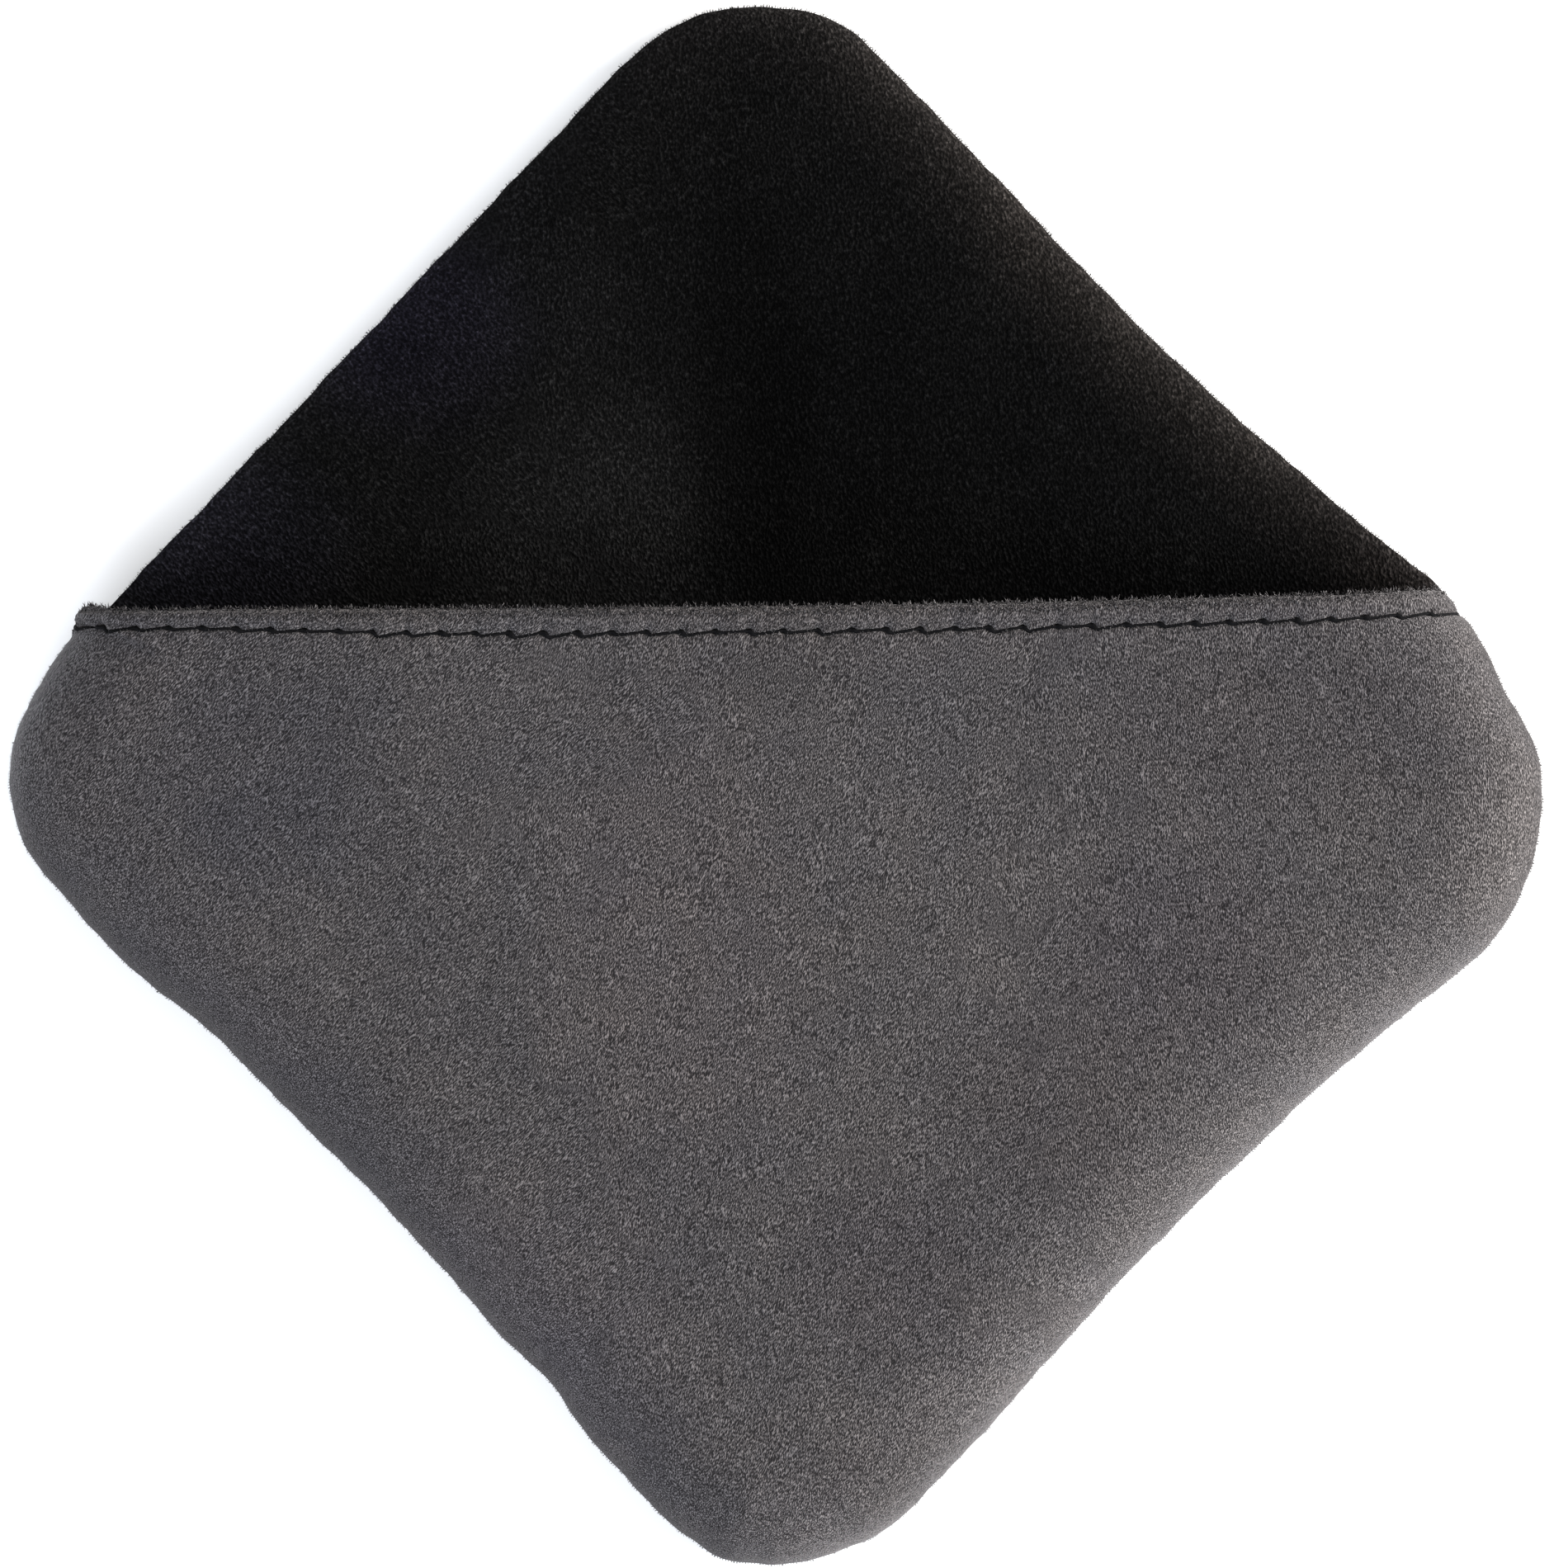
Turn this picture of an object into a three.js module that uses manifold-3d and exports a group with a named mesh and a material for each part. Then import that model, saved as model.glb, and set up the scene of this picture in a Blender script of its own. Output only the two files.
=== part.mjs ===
// A screen cleaning mitt: a soft square of cloth with a finger pocket across it.
// It lies on its back. +Z points out of its front, +Y to the free corner above the pocket's mouth.
// A rear panel and a lining panel are sewn together round the edge, with the pocket panel over them.
// The sewn edge is turned, so each panel ends in a round fold with its seam allowance inside.
// The corner above the mouth is free to fold forward, so the two panels behind it are divided there.

import * as THREE from "three";
import { mergeVertices } from "three/addons/utils/BufferGeometryUtils.js";
import Module from "manifold-3d";

// Driving dimensions, in millimetres.

// The outline's sharp corners: how far each lies from the middle, and how far to the side of it.
const TOP_REACH = 75.7;
const TOP_OFFSET = -2.5;
const RIGHT_REACH = 76.9;
const RIGHT_OFFSET = -0.4;
const BOTTOM_REACH = 75.2;
const BOTTOM_OFFSET = 0.3;
const LEFT_REACH = 73.5;
const LEFT_OFFSET = 0.5;

// The round of each corner, and how far each edge is drawn in by its seam.
const TOP_RADIUS = 15.5;
const RIGHT_RADIUS = 20.5;
const BOTTOM_RADIUS = 15.3;
const LEFT_RADIUS = 14.5;
const UPPER_RIGHT_DRAW = 1.2;
const LOWER_RIGHT_DRAW = 1.6;
const LOWER_LEFT_DRAW = 1.6;
const UPPER_LEFT_DRAW = 0.1;

// Cloth and thread.
const PLUSH_THICKNESS = 0.7;
const SUEDE_THICKNESS = 0.8;
const THREAD_DIAMETER = 0.25;
const LAYER_GAP = 0.2;
const SEAM_ALLOWANCE = 6;

// The pocket: its mouth climbs a little towards the right, and it stands open as it lies.
const MOUTH_Y = 15.5;
const MOUTH_RISE = 1.7;
const POCKET_CROWN = 5;
const CROWN_RUN = 34;

// The lining lies high on the seam allowances and sinks to the rear panel over this run.
// Its edge comes down over a run of its own in the free corner, where no pocket lies under it.
const LINING_RUN = 26;
const CORNER_RUN = 14;

// The hem: its turned depth, its stitch line below the fold, and the bead between the two.
const HEM_DEPTH = 5;
const STITCH_INSET = 2.1;
const STITCH_LENGTH = 3;
const STITCH_DIP = 0.1;
const BEAD_HEIGHT = 0.3;

// The hem's left end stands out past the cloth behind it, and falls back to the edge over this run.
const HEM_END_PROUD = 3.2;
const HEM_END_RUN = 7;

// The free corner folds along a slit just above the mouth.
const FOLD_STANDOFF = 1.2;
const FOLD_SLIT = 0.3;

// How finely curves are divided.
const CORNER_STEPS = 7;
const EDGE_STEPS = 6;
const ROUND_STEPS = 4;
const MOUTH_STEPS = 18;
const STEPS_PER_STITCH = 4;
const FIELD_SHARES = [0.12, 0.34, 0.66];

// Larger than the part, for the blocks that divide it.
const BLOCK = 400;

// Sizes that follow from these.
const THREAD_RADIUS = THREAD_DIAMETER / 2;
const THREAD_CAVITY = THREAD_RADIUS + LAYER_GAP;
const PLUSH_FOLD = THREAD_CAVITY + PLUSH_THICKNESS;
const POCKET_CAVITY = PLUSH_FOLD + LAYER_GAP;
const POCKET_FOLD = POCKET_CAVITY + SUEDE_THICKNESS;
const REAR_FOLD_Z = PLUSH_FOLD;
const FRONT_FOLD_Z = 2 * PLUSH_FOLD + LAYER_GAP + POCKET_FOLD;
const LIP_END = POCKET_FOLD + SEAM_ALLOWANCE;
const LINING_SINK = FRONT_FOLD_Z + THREAD_CAVITY - PLUSH_THICKNESS - LAYER_GAP;
const CORNER_DROP = SUEDE_THICKNESS + LAYER_GAP;
const FOLD_Y = MOUTH_Y + MOUTH_RISE + FOLD_STANDOFF;
const GROOVE_WIDTH = THREAD_DIAMETER + 2 * LAYER_GAP;
const GROOVE_DEPTH = THREAD_DIAMETER + STITCH_DIP + LAYER_GAP;
const HEM_THICKNESS = 2 * SUEDE_THICKNESS;

const PLUSH_BLACK = { color: 0x0e0d0e, roughness: 1, metalness: 0 };
const SUEDE_GREY = { color: 0x565459, roughness: 0.95, metalness: 0 };
const THREAD_BLACK = { color: 0x17161a, roughness: 0.7, metalness: 0 };

const wasm = await Module();
wasm.setup();

// The outline

// The four corners, anticlockwise from the top, each with the draw of the edge that follows it.
const corners = [
  { at: new THREE.Vector2(TOP_OFFSET, TOP_REACH), radius: TOP_RADIUS, draw: UPPER_LEFT_DRAW },
  { at: new THREE.Vector2(-LEFT_REACH, LEFT_OFFSET), radius: LEFT_RADIUS, draw: LOWER_LEFT_DRAW },
  { at: new THREE.Vector2(BOTTOM_OFFSET, -BOTTOM_REACH), radius: BOTTOM_RADIUS, draw: LOWER_RIGHT_DRAW },
  { at: new THREE.Vector2(RIGHT_REACH, RIGHT_OFFSET), radius: RIGHT_RADIUS, draw: UPPER_RIGHT_DRAW },
];

// The arc that rounds one corner: its centre, and the two points where it meets the edges.
function cornerArc(index) {
  const { at, radius } = corners[index];
  const back = corners[(index + 3) % 4].at.clone().sub(at).normalize();
  const ahead = corners[(index + 1) % 4].at.clone().sub(at).normalize();
  const half = Math.acos(back.dot(ahead)) / 2;
  const start = at.clone().addScaledVector(back, radius / Math.tan(half));
  const end = at.clone().addScaledVector(ahead, radius / Math.tan(half));
  const inward = back.clone().add(ahead).normalize();
  const centre = at.clone().addScaledVector(inward, radius / Math.sin(half));
  return { start, end, centre, radius };
}

function arcPoints({ start, end, centre, radius }) {
  const from = start.clone().sub(centre).angle();
  const to = end.clone().sub(centre).angle();
  const turn = to > from ? to - from : to - from + 2 * Math.PI;
  const points = [];
  for (let step = 0; step <= CORNER_STEPS; step++) {
    const angle = from + (turn * step) / CORNER_STEPS;
    const spoke = new THREE.Vector2(Math.cos(angle), Math.sin(angle));
    points.push(centre.clone().addScaledVector(spoke, radius));
  }
  return points;
}

// The points between two corners, on an edge that its seam draws in towards its middle.
function edgePoints(from, to, draw) {
  const run = to.clone().sub(from);
  const inward = new THREE.Vector2(-run.y, run.x).normalize();
  const points = [];
  for (let step = 1; step < EDGE_STEPS; step++) {
    const share = step / EDGE_STEPS;
    const drawn = draw * Math.sin(Math.PI * share) ** 2;
    points.push(from.clone().addScaledVector(run, share).addScaledVector(inward, drawn));
  }
  return points;
}

function outlinePoints() {
  return corners.flatMap((corner, index) => {
    const arc = cornerArc(index);
    const next = cornerArc((index + 1) % 4);
    return [...arcPoints(arc), ...edgePoints(arc.end, next.start, corner.draw)];
  });
}

// Outline points with their outward normals.
function withNormals(points) {
  return points.map((point, index) => {
    const before = points[(index + points.length - 1) % points.length];
    const after = points[(index + 1) % points.length];
    const along = after.clone().sub(before).normalize();
    return { point, normal: new THREE.Vector2(along.y, -along.x) };
  });
}

// The pocket's own edge bulges out where the hem's left end stands proud.
function bulgedOutline(line) {
  return line.map(({ point, normal }) => {
    const share = THREE.MathUtils.clamp((point.y - MOUTH_Y) / HEM_END_RUN + 1, 0, 1);
    return point.clone().addScaledVector(normal, point.x < 0 ? HEM_END_PROUD * share : 0);
  });
}

// Where a line crosses a height, on its left side (-1) or its right side (1).
function crossingX(line, y, side) {
  for (let index = 0; index < line.length; index++) {
    const a = line[index].point;
    const b = line[(index + 1) % line.length].point;
    if ((a.y - y) * (b.y - y) < 0 && Math.sign(a.x) === side) {
      return THREE.MathUtils.lerp(a.x, b.x, (y - a.y) / (b.y - a.y));
    }
  }
  throw new Error(`the outline doesn't cross y = ${y}`);
}

const backEdge = withNormals(outlinePoints());
const pocketEdge = withNormals(bulgedOutline(backEdge));
const mouthLeft = crossingX(pocketEdge, MOUTH_Y, -1);
const mouthRight = crossingX(pocketEdge, MOUTH_Y + MOUTH_RISE, 1);

// The fold of the hem, seen from the front.
function mouthY(x) {
  const share = THREE.MathUtils.clamp((x - mouthLeft) / (mouthRight - mouthLeft), 0, 1);
  return MOUTH_Y + MOUTH_RISE * share ** 3;
}

// Heights

// How far a surface has risen: 0 within start of any edge, and 1 a run further inside all four.
function riseInside(x, y, start, run) {
  return corners.reduce((product, corner, index) => {
    const along = corners[(index + 1) % 4].at.clone().sub(corner.at).normalize();
    const inside = (y - corner.at.y) * along.x - (x - corner.at.x) * along.y;
    const share = THREE.MathUtils.clamp((inside - start) / run, 0, 1);
    return product * Math.sin((Math.PI / 2) * share);
  }, 1);
}

function pocketLift(x, y) {
  return POCKET_CROWN * riseInside(x, y, POCKET_FOLD, CROWN_RUN);
}

function flat() {
  return 0;
}

function liningEdgeLift(x, y) {
  return -CORNER_DROP * THREE.MathUtils.smoothstep(y, FOLD_Y, FOLD_Y + CORNER_RUN);
}

function liningLift(x, y) {
  const edgeLift = liningEdgeLift(x, y);
  return edgeLift - (LINING_SINK + edgeLift) * riseInside(x, y, LIP_END, LINING_RUN) ** 2;
}

function pocketTop(x, y) {
  return FRONT_FOLD_Z + POCKET_FOLD + pocketLift(x, y);
}

// The hem's turned layer is as thick as the cloth, but thins away where the edge seam grips it.
function turnedThickness(x, y) {
  const room = pocketLift(x, y) - liningLift(x, y) - SUEDE_THICKNESS / 4;
  return Math.min(SUEDE_THICKNESS, room);
}

// Surfaces

function indexed(points, triangles) {
  const geometry = new THREE.BufferGeometry().setFromPoints(points);
  geometry.setIndex(triangles);
  return geometry;
}

// A closed surface through rings of equal length, with a point at each end to close it.
function ringGeometry(first, rings, last) {
  const count = rings[0].length;
  const points = [first, ...rings.flat(), last];
  const end = rings.length - 1;
  const at = (ring, index) => 1 + ring * count + (index % count);
  const triangles = [];
  for (let index = 0; index < count; index++) {
    triangles.push(0, at(0, index), at(0, index + 1));
    for (let ring = 0; ring < end; ring++) {
      triangles.push(at(ring, index), at(ring + 1, index), at(ring + 1, index + 1));
      triangles.push(at(ring, index), at(ring + 1, index + 1), at(ring, index + 1));
    }
    triangles.push(at(end, index + 1), at(end, index), points.length - 1);
  }
  return indexed(points, triangles);
}

// A bar through sections that follow each other along +X, closed at both ends.
function barGeometry(sections) {
  const middle = (section) =>
    section.reduce((sum, point) => sum.add(point), new THREE.Vector3()).divideScalar(section.length);
  return ringGeometry(middle(sections[0]), sections, middle(sections[sections.length - 1]));
}

// The cut through a turned panel, from the middle of its sheet, round its edge and back along its inside.
// A share above 0 is a place on the sheet, that share of the way from the fold to the middle.
function turnedProfile(foldInset, cavity, outer, shares) {
  const round = (radius, turn) =>
    Array.from({ length: ROUND_STEPS + 1 }, (_, step) => {
      const angle = turn * Math.PI * (0.5 - step / ROUND_STEPS);
      return { inset: foldInset - radius * Math.cos(angle), share: 0, z: radius * Math.sin(angle) };
    });
  const sheet = (z) => shares.map((share) => ({ inset: foldInset, share, z }));
  return [
    ...sheet(outer).reverse(),
    ...round(outer, 1),
    { inset: LIP_END, share: 0, z: -outer },
    { inset: LIP_END, share: 0, z: -cavity },
    ...round(cavity, -1),
    ...sheet(cavity),
  ];
}

// A panel with its edge turned in: the sheet, the round fold at the edge, and the allowance inside it.
// side is 1 where the sheet lies over its allowance and -1 where it lies under it.
function turnedPanel({ line, foldInset, foldZ, cavity, thickness, side, shares, lift, edgeLift }) {
  const outer = cavity + thickness;
  const profile = turnedProfile(foldInset, cavity, outer, shares);
  const faces = [outer, cavity];
  if (side < 0) {
    profile.reverse();
    faces.reverse();
  }
  const rings = profile.map(({ inset, share, z }) =>
    line.map(({ point, normal }) => {
      const { x, y } = point.clone().addScaledVector(normal, -inset).multiplyScalar(1 - share);
      const lifted = share > 0 ? lift(x, y) : edgeLift(x, y);
      return new THREE.Vector3(x, y, foldZ + side * z + lifted);
    }));
  const [first, last] = faces.map((z) => new THREE.Vector3(0, 0, foldZ + side * z + lift(0, 0)));
  return ringGeometry(first, rings, last);
}

// A four-sided thread that runs right round the edge, inside a panel's fold.
function edgeThread(inset, foldZ, edgeLift) {
  const sides = 4;
  const points = backEdge.flatMap(({ point, normal }) =>
    Array.from({ length: sides }, (_, spoke) => {
      const angle = (2 * Math.PI * spoke) / sides;
      const place = point.clone().addScaledVector(normal, THREAD_RADIUS * Math.cos(angle) - inset);
      const z = foldZ + edgeLift(place.x, place.y) + THREAD_RADIUS * Math.sin(angle);
      return new THREE.Vector3(place.x, place.y, z);
    }));
  const at = (station, spoke) => (station % backEdge.length) * sides + (spoke % sides);
  const triangles = [];
  for (let station = 0; station < backEdge.length; station++) {
    for (let spoke = 0; spoke < sides; spoke++) {
      triangles.push(at(station, spoke), at(station + 1, spoke), at(station + 1, spoke + 1));
      triangles.push(at(station, spoke), at(station + 1, spoke + 1), at(station, spoke + 1));
    }
  }
  return indexed(points, triangles);
}

// The hem

// Evenly spaced places along the mouth, from one end of the sewn edge to the other.
function alongMouth(steps, from, to) {
  return Array.from({ length: steps + 1 }, (_, step) => from + ((to - from) * step) / steps);
}

const hemStart = mouthLeft + POCKET_FOLD * Math.SQRT2;
const hemEnd = mouthRight - POCKET_FOLD * Math.SQRT2;

// The folded cloth at the mouth: a round nose, a bead in front of the stitches, and the turned layer.
function hemBar() {
  const nose = SUEDE_THICKNESS;
  const beadBack = STITCH_INSET - GROOVE_WIDTH / 2;
  const buried = -SUEDE_THICKNESS / 2;
  const noseMiddle = (BEAD_HEIGHT - HEM_THICKNESS) / 2;
  const noseHalf = (BEAD_HEIGHT + HEM_THICKNESS) / 2;
  const bead = [1, 0.75, 0.5].map((turn) => [
    -nose + (beadBack - nose) * Math.cos(Math.PI * turn),
    BEAD_HEIGHT * Math.sin(Math.PI * turn),
  ]);
  const front = [0.25, 0, -0.25, -0.5].map((turn) => [
    nose * (Math.cos(Math.PI * turn) - 1),
    noseMiddle + noseHalf * Math.sin(Math.PI * turn),
  ]);
  const section = [
    [-HEM_DEPTH, buried],
    [-beadBack, buried],
    ...bead,
    ...front,
    [-HEM_DEPTH, -HEM_THICKNESS],
  ];
  return barGeometry(alongMouth(MOUTH_STEPS, hemStart, hemEnd).map((x) =>
    section.map(([dy, z]) => {
      const y = mouthY(x) + dy;
      const lowest = -SUEDE_THICKNESS - turnedThickness(x, y);
      return new THREE.Vector3(x, y, pocketTop(x, y) + Math.max(z, lowest));
    })));
}

// The stitch line's height on the front of the hem, and on the turned layer inside the pocket.
function stitchTop(x) {
  return pocketTop(x, mouthY(x) - STITCH_INSET);
}

function stitchUnder(x) {
  return stitchTop(x) - HEM_THICKNESS;
}

// A square channel along the stitch line, between two heights over a face of the hem.
function stitchGroove(from, to, face, low, high) {
  const half = GROOVE_WIDTH / 2;
  const corner = [[-half, high], [half, high], [half, low], [-half, low]];
  return barGeometry(alongMouth(MOUTH_STEPS, from, to).map((x) =>
    corner.map(([dy, dz]) => new THREE.Vector3(x, mouthY(x) - STITCH_INSET + dy, face(x) + dz))));
}

// One unbroken thread along the stitch line, which dips into the cloth at each needle hole.
function stitchThread(from, to, face, side) {
  const stitches = Math.round((to - from) / STITCH_LENGTH);
  const spokes = [[0, 1], [1, 0], [0, -1], [-1, 0]];
  return barGeometry(alongMouth(stitches * STEPS_PER_STITCH, from, to).map((x) => {
    const phase = (2 * Math.PI * stitches * (x - from)) / (to - from);
    const sunk = THREAD_RADIUS + (STITCH_DIP * (1 + Math.cos(phase))) / 2;
    const y = mouthY(x) - STITCH_INSET;
    const z = face(x) - side * sunk;
    return spokes.map(([dy, dz]) => new THREE.Vector3(x, y + THREAD_RADIUS * dy, z + THREAD_RADIUS * dz));
  }));
}

// The bobbin thread runs where the hem has its whole thickness.
function fullHemRange() {
  const whole = alongMouth(MOUTH_STEPS * STEPS_PER_STITCH, hemStart, hemEnd)
    .filter((x) => turnedThickness(x, mouthY(x)) === SUEDE_THICKNESS);
  return [whole[0] + STITCH_LENGTH, whole[whole.length - 1] - STITCH_LENGTH];
}

// Solids for joining and cutting

function solid(geometry) {
  const bare = geometry.clone();
  bare.deleteAttribute("normal");
  bare.deleteAttribute("uv");
  const merged = mergeVertices(bare);
  const vertProperties = new Float32Array(merged.attributes.position.array);
  const triVerts = new Uint32Array(merged.index.array);
  return new wasm.Manifold(new wasm.Mesh({ numProp: 3, vertProperties, triVerts }));
}

function surface(body) {
  const { vertProperties, triVerts } = body.getMesh();
  const geometry = new THREE.BufferGeometry();
  geometry.setAttribute("position", new THREE.BufferAttribute(vertProperties, 3));
  geometry.setIndex(new THREE.BufferAttribute(triVerts, 1));
  geometry.computeVertexNormals();
  return geometry;
}

// The two sides of the fold line.
const aboveFold = solid(new THREE.BoxGeometry(BLOCK, BLOCK, BLOCK)
  .translate(0, FOLD_Y + (FOLD_SLIT + BLOCK) / 2, 0));
const belowFold = solid(new THREE.BoxGeometry(BLOCK, BLOCK, BLOCK)
  .translate(0, FOLD_Y - (FOLD_SLIT + BLOCK) / 2, 0));

// Everything below the mouth, short of the hem's nose, which closes it.
function belowMouth() {
  const outline = new THREE.Shape();
  outline.moveTo(-BLOCK / 2, -BLOCK / 2);
  outline.lineTo(BLOCK / 2, -BLOCK / 2);
  outline.lineTo(BLOCK / 2, mouthY(BLOCK / 2) - SUEDE_THICKNESS);
  for (const x of alongMouth(MOUTH_STEPS, hemEnd, hemStart)) {
    outline.lineTo(x, mouthY(x) - SUEDE_THICKNESS);
  }
  outline.lineTo(-BLOCK / 2, mouthY(-BLOCK / 2) - SUEDE_THICKNESS);
  const block = new THREE.ExtrudeGeometry(outline, { depth: BLOCK, bevelEnabled: false });
  return solid(block.translate(0, 0, -BLOCK / 2));
}

// The pieces

function rearPanel() {
  return solid(turnedPanel({
    line: backEdge,
    foldInset: PLUSH_FOLD,
    foldZ: REAR_FOLD_Z,
    cavity: THREAD_CAVITY,
    thickness: PLUSH_THICKNESS,
    side: -1,
    shares: [],
    lift: flat,
    edgeLift: flat,
  }));
}

function liningPanel() {
  return solid(turnedPanel({
    line: backEdge,
    foldInset: POCKET_FOLD,
    foldZ: FRONT_FOLD_Z,
    cavity: THREAD_CAVITY,
    thickness: PLUSH_THICKNESS,
    side: 1,
    shares: FIELD_SHARES,
    lift: liningLift,
    edgeLift: liningEdgeLift,
  }));
}

function pocketPanel(bobbinRange) {
  const panel = solid(turnedPanel({
    line: pocketEdge,
    foldInset: POCKET_FOLD,
    foldZ: FRONT_FOLD_Z,
    cavity: POCKET_CAVITY,
    thickness: SUEDE_THICKNESS,
    side: 1,
    shares: FIELD_SHARES,
    lift: pocketLift,
    edgeLift: flat,
  }));
  const clear = GROOVE_DEPTH + BEAD_HEIGHT;
  const [from, to] = bobbinRange;
  const needleGroove = stitchGroove(hemStart - LAYER_GAP, hemEnd + LAYER_GAP, stitchTop, -GROOVE_DEPTH, clear);
  const bobbinGroove = stitchGroove(from - LAYER_GAP, to + LAYER_GAP, stitchUnder, -clear, GROOVE_DEPTH);
  return panel.intersect(belowMouth())
    .add(solid(hemBar()))
    .subtract(solid(needleGroove))
    .subtract(solid(bobbinGroove));
}

const mitt = new THREE.Group();

function addPiece(name, geometry, material) {
  const mesh = new THREE.Mesh(geometry, new THREE.MeshStandardMaterial(material));
  mesh.name = name;
  mitt.add(mesh);
}

// A piece that crosses the fold line: one node stays behind the pocket, and one is on the free corner.
function addDivided(name, cornerName, body, material) {
  addPiece(name, surface(body.intersect(belowFold)), material);
  addPiece(cornerName, surface(body.intersect(aboveFold)), material);
}

const bobbinRange = fullHemRange();
addDivided("rear_panel", "rear_panel_corner", rearPanel(), PLUSH_BLACK);
addDivided("lining_panel", "lining_panel_corner", liningPanel(), PLUSH_BLACK);
addPiece("pocket_panel", surface(pocketPanel(bobbinRange)), SUEDE_GREY);
addPiece("hem_needle_thread", stitchThread(hemStart, hemEnd, stitchTop, 1), THREAD_BLACK);
addPiece("hem_bobbin_thread", stitchThread(...bobbinRange, stitchUnder, -1), THREAD_BLACK);
addDivided("edge_needle_thread", "corner_needle_thread",
  solid(edgeThread(POCKET_FOLD, FRONT_FOLD_Z, liningEdgeLift)), THREAD_BLACK);
addDivided("edge_bobbin_thread", "corner_bobbin_thread",
  solid(edgeThread(PLUSH_FOLD, REAR_FOLD_Z, flat)), THREAD_BLACK);

// The origin is under the middle of the whole, on the face that it lies on.
const box = new THREE.Box3().setFromObject(mitt);
mitt.position.set(-(box.min.x + box.max.x) / 2, -(box.min.y + box.max.y) / 2, -box.min.z);

export default mitt;
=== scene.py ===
# A soft square screen cleaning mitt: black plush behind, and a grey microsuede finger pocket in front.
# Each cloth is drawn as its flat cut, then bent into place with its edge turned under.
# Lengths are in millimetres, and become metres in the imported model's frame where a mesh is made.

import bpy
import numpy as np
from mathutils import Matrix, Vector
from mathutils.geometry import delaunay_2d_cdt
from mathutils.kdtree import KDTree


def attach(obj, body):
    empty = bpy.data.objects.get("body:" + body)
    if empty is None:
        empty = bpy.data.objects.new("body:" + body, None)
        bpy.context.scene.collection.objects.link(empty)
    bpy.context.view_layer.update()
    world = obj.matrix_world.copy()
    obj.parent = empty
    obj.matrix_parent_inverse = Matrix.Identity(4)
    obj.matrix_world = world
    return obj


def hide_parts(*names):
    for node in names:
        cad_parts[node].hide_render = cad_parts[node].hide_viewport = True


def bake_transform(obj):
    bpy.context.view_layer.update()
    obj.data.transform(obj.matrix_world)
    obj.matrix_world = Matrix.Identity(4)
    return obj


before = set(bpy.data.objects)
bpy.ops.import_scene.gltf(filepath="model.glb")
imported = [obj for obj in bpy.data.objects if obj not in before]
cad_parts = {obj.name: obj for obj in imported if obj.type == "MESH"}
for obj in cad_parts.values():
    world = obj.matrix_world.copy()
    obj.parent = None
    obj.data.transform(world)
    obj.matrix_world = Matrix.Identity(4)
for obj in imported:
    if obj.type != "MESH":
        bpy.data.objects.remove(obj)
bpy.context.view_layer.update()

MM = 0.001
INSET_ATTRIBUTE = "inside_edge"
SHADE_ATTRIBUTE = "fibre_shade"

# Driving dimensions

# The outline's sharp corners, anticlockwise from the top: each with its round,
# and how far the seam draws in the edge that follows it.
CORNERS = (
    {"at": (-2.5, 75.7), "round": 15.5, "draw": -0.1},
    {"at": (-73.5, 0.5), "round": 14.5, "draw": 1.6},
    {"at": (0.3, -75.2), "round": 15.3, "draw": 1.6},
    {"at": (76.9, -0.4), "round": 20.5, "draw": 1.2},
)
OUTLINE_STEP = 0.25
OUTLINE_SOFTNESS = 1.5

# Where the outline leaves those straight edges and round corners: a place on it, how much of the edge
# moves, and how far outwards.
OUTLINE_TOUCHES = (
    {"at": (65.5, 9.0), "spread": 5.0, "out": -1.05},
    {"at": (58.0, 17.8), "spread": 3.6, "out": 0.5},
    {"at": (5.5, 67.2), "spread": 5.0, "out": 0.4},
    {"at": (-64.0, -9.0), "spread": 3.5, "out": -0.45},
    {"at": (-50.0, -22.8), "spread": 5.5, "out": -0.6},
    {"at": (-20.5, -53.2), "spread": 4.0, "out": -0.6},
    {"at": (-4.6, -68.0), "spread": 2.5, "out": 0.5},
    {"at": (5.4, -68.0), "spread": 3.5, "out": -0.25},
    {"at": (51.0, -24.8), "spread": 11.0, "out": -0.7},
    {"at": (63.5, -13.5), "spread": 4.0, "out": 0.35},
)

# Small waves of the sewn edge: how far it wanders, and the length of each wave.
EDGE_WANDER = ((0.05, 11.3), (0.03, 4.7), (0.025, 2.9))

# The turned edge of each cloth. The level is the height of its outermost line; the roll and the rise
# take it up to the sheet, the under and the drop take it down to the allowance that lies inside.
SEAM_ALLOWANCE = 6.0
SUEDE = {"thickness": 0.8, "roll": 9.5, "rise": 6.5, "under": 2.0, "drop": 1.15}
SUEDE_LEVEL = 3.4
PLUSH = {"thickness": 0.7, "roll": 8.0, "under": 1.2, "drop": 0.75}
LINING_LEVEL = (4.0, 2.5)
LINING_TOP = (4.9, 4.8)
LINING_INSET = (2.2, -0.05)
LINING_COMES_OUT = (-3.2, -0.1)
REAR = {"thickness": 0.7, "roll": 3.5, "rise": 0.85, "under": 1.2, "drop": 0.8}
REAR_LEVEL = 0.85

# The pocket: its mouth climbs a little towards the right, and it stands open as it lies.
MOUTH_Y = 15.6
MOUTH_SPAN = (-62.0, 58.0)
MOUTH_RISE = 1.7
MOUTH_END_RISE = 0.3
MOUTH_END_AT = (48.0, 59.0)
POCKET_CROWN = 1.4
CROWN_START = 4.0
CROWN_RUN = 32.0
CROWN_POWER = 1.15

# The lining sinks from the seam to the rear panel, and changes level above the fold line.
LINING_FIELD = 1.65
LINING_START = 8.0
LINING_RUN = 26.0
LINING_POWER = 2
FOLD_Y = 18.4
CORNER_RUN = 14.0

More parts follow.
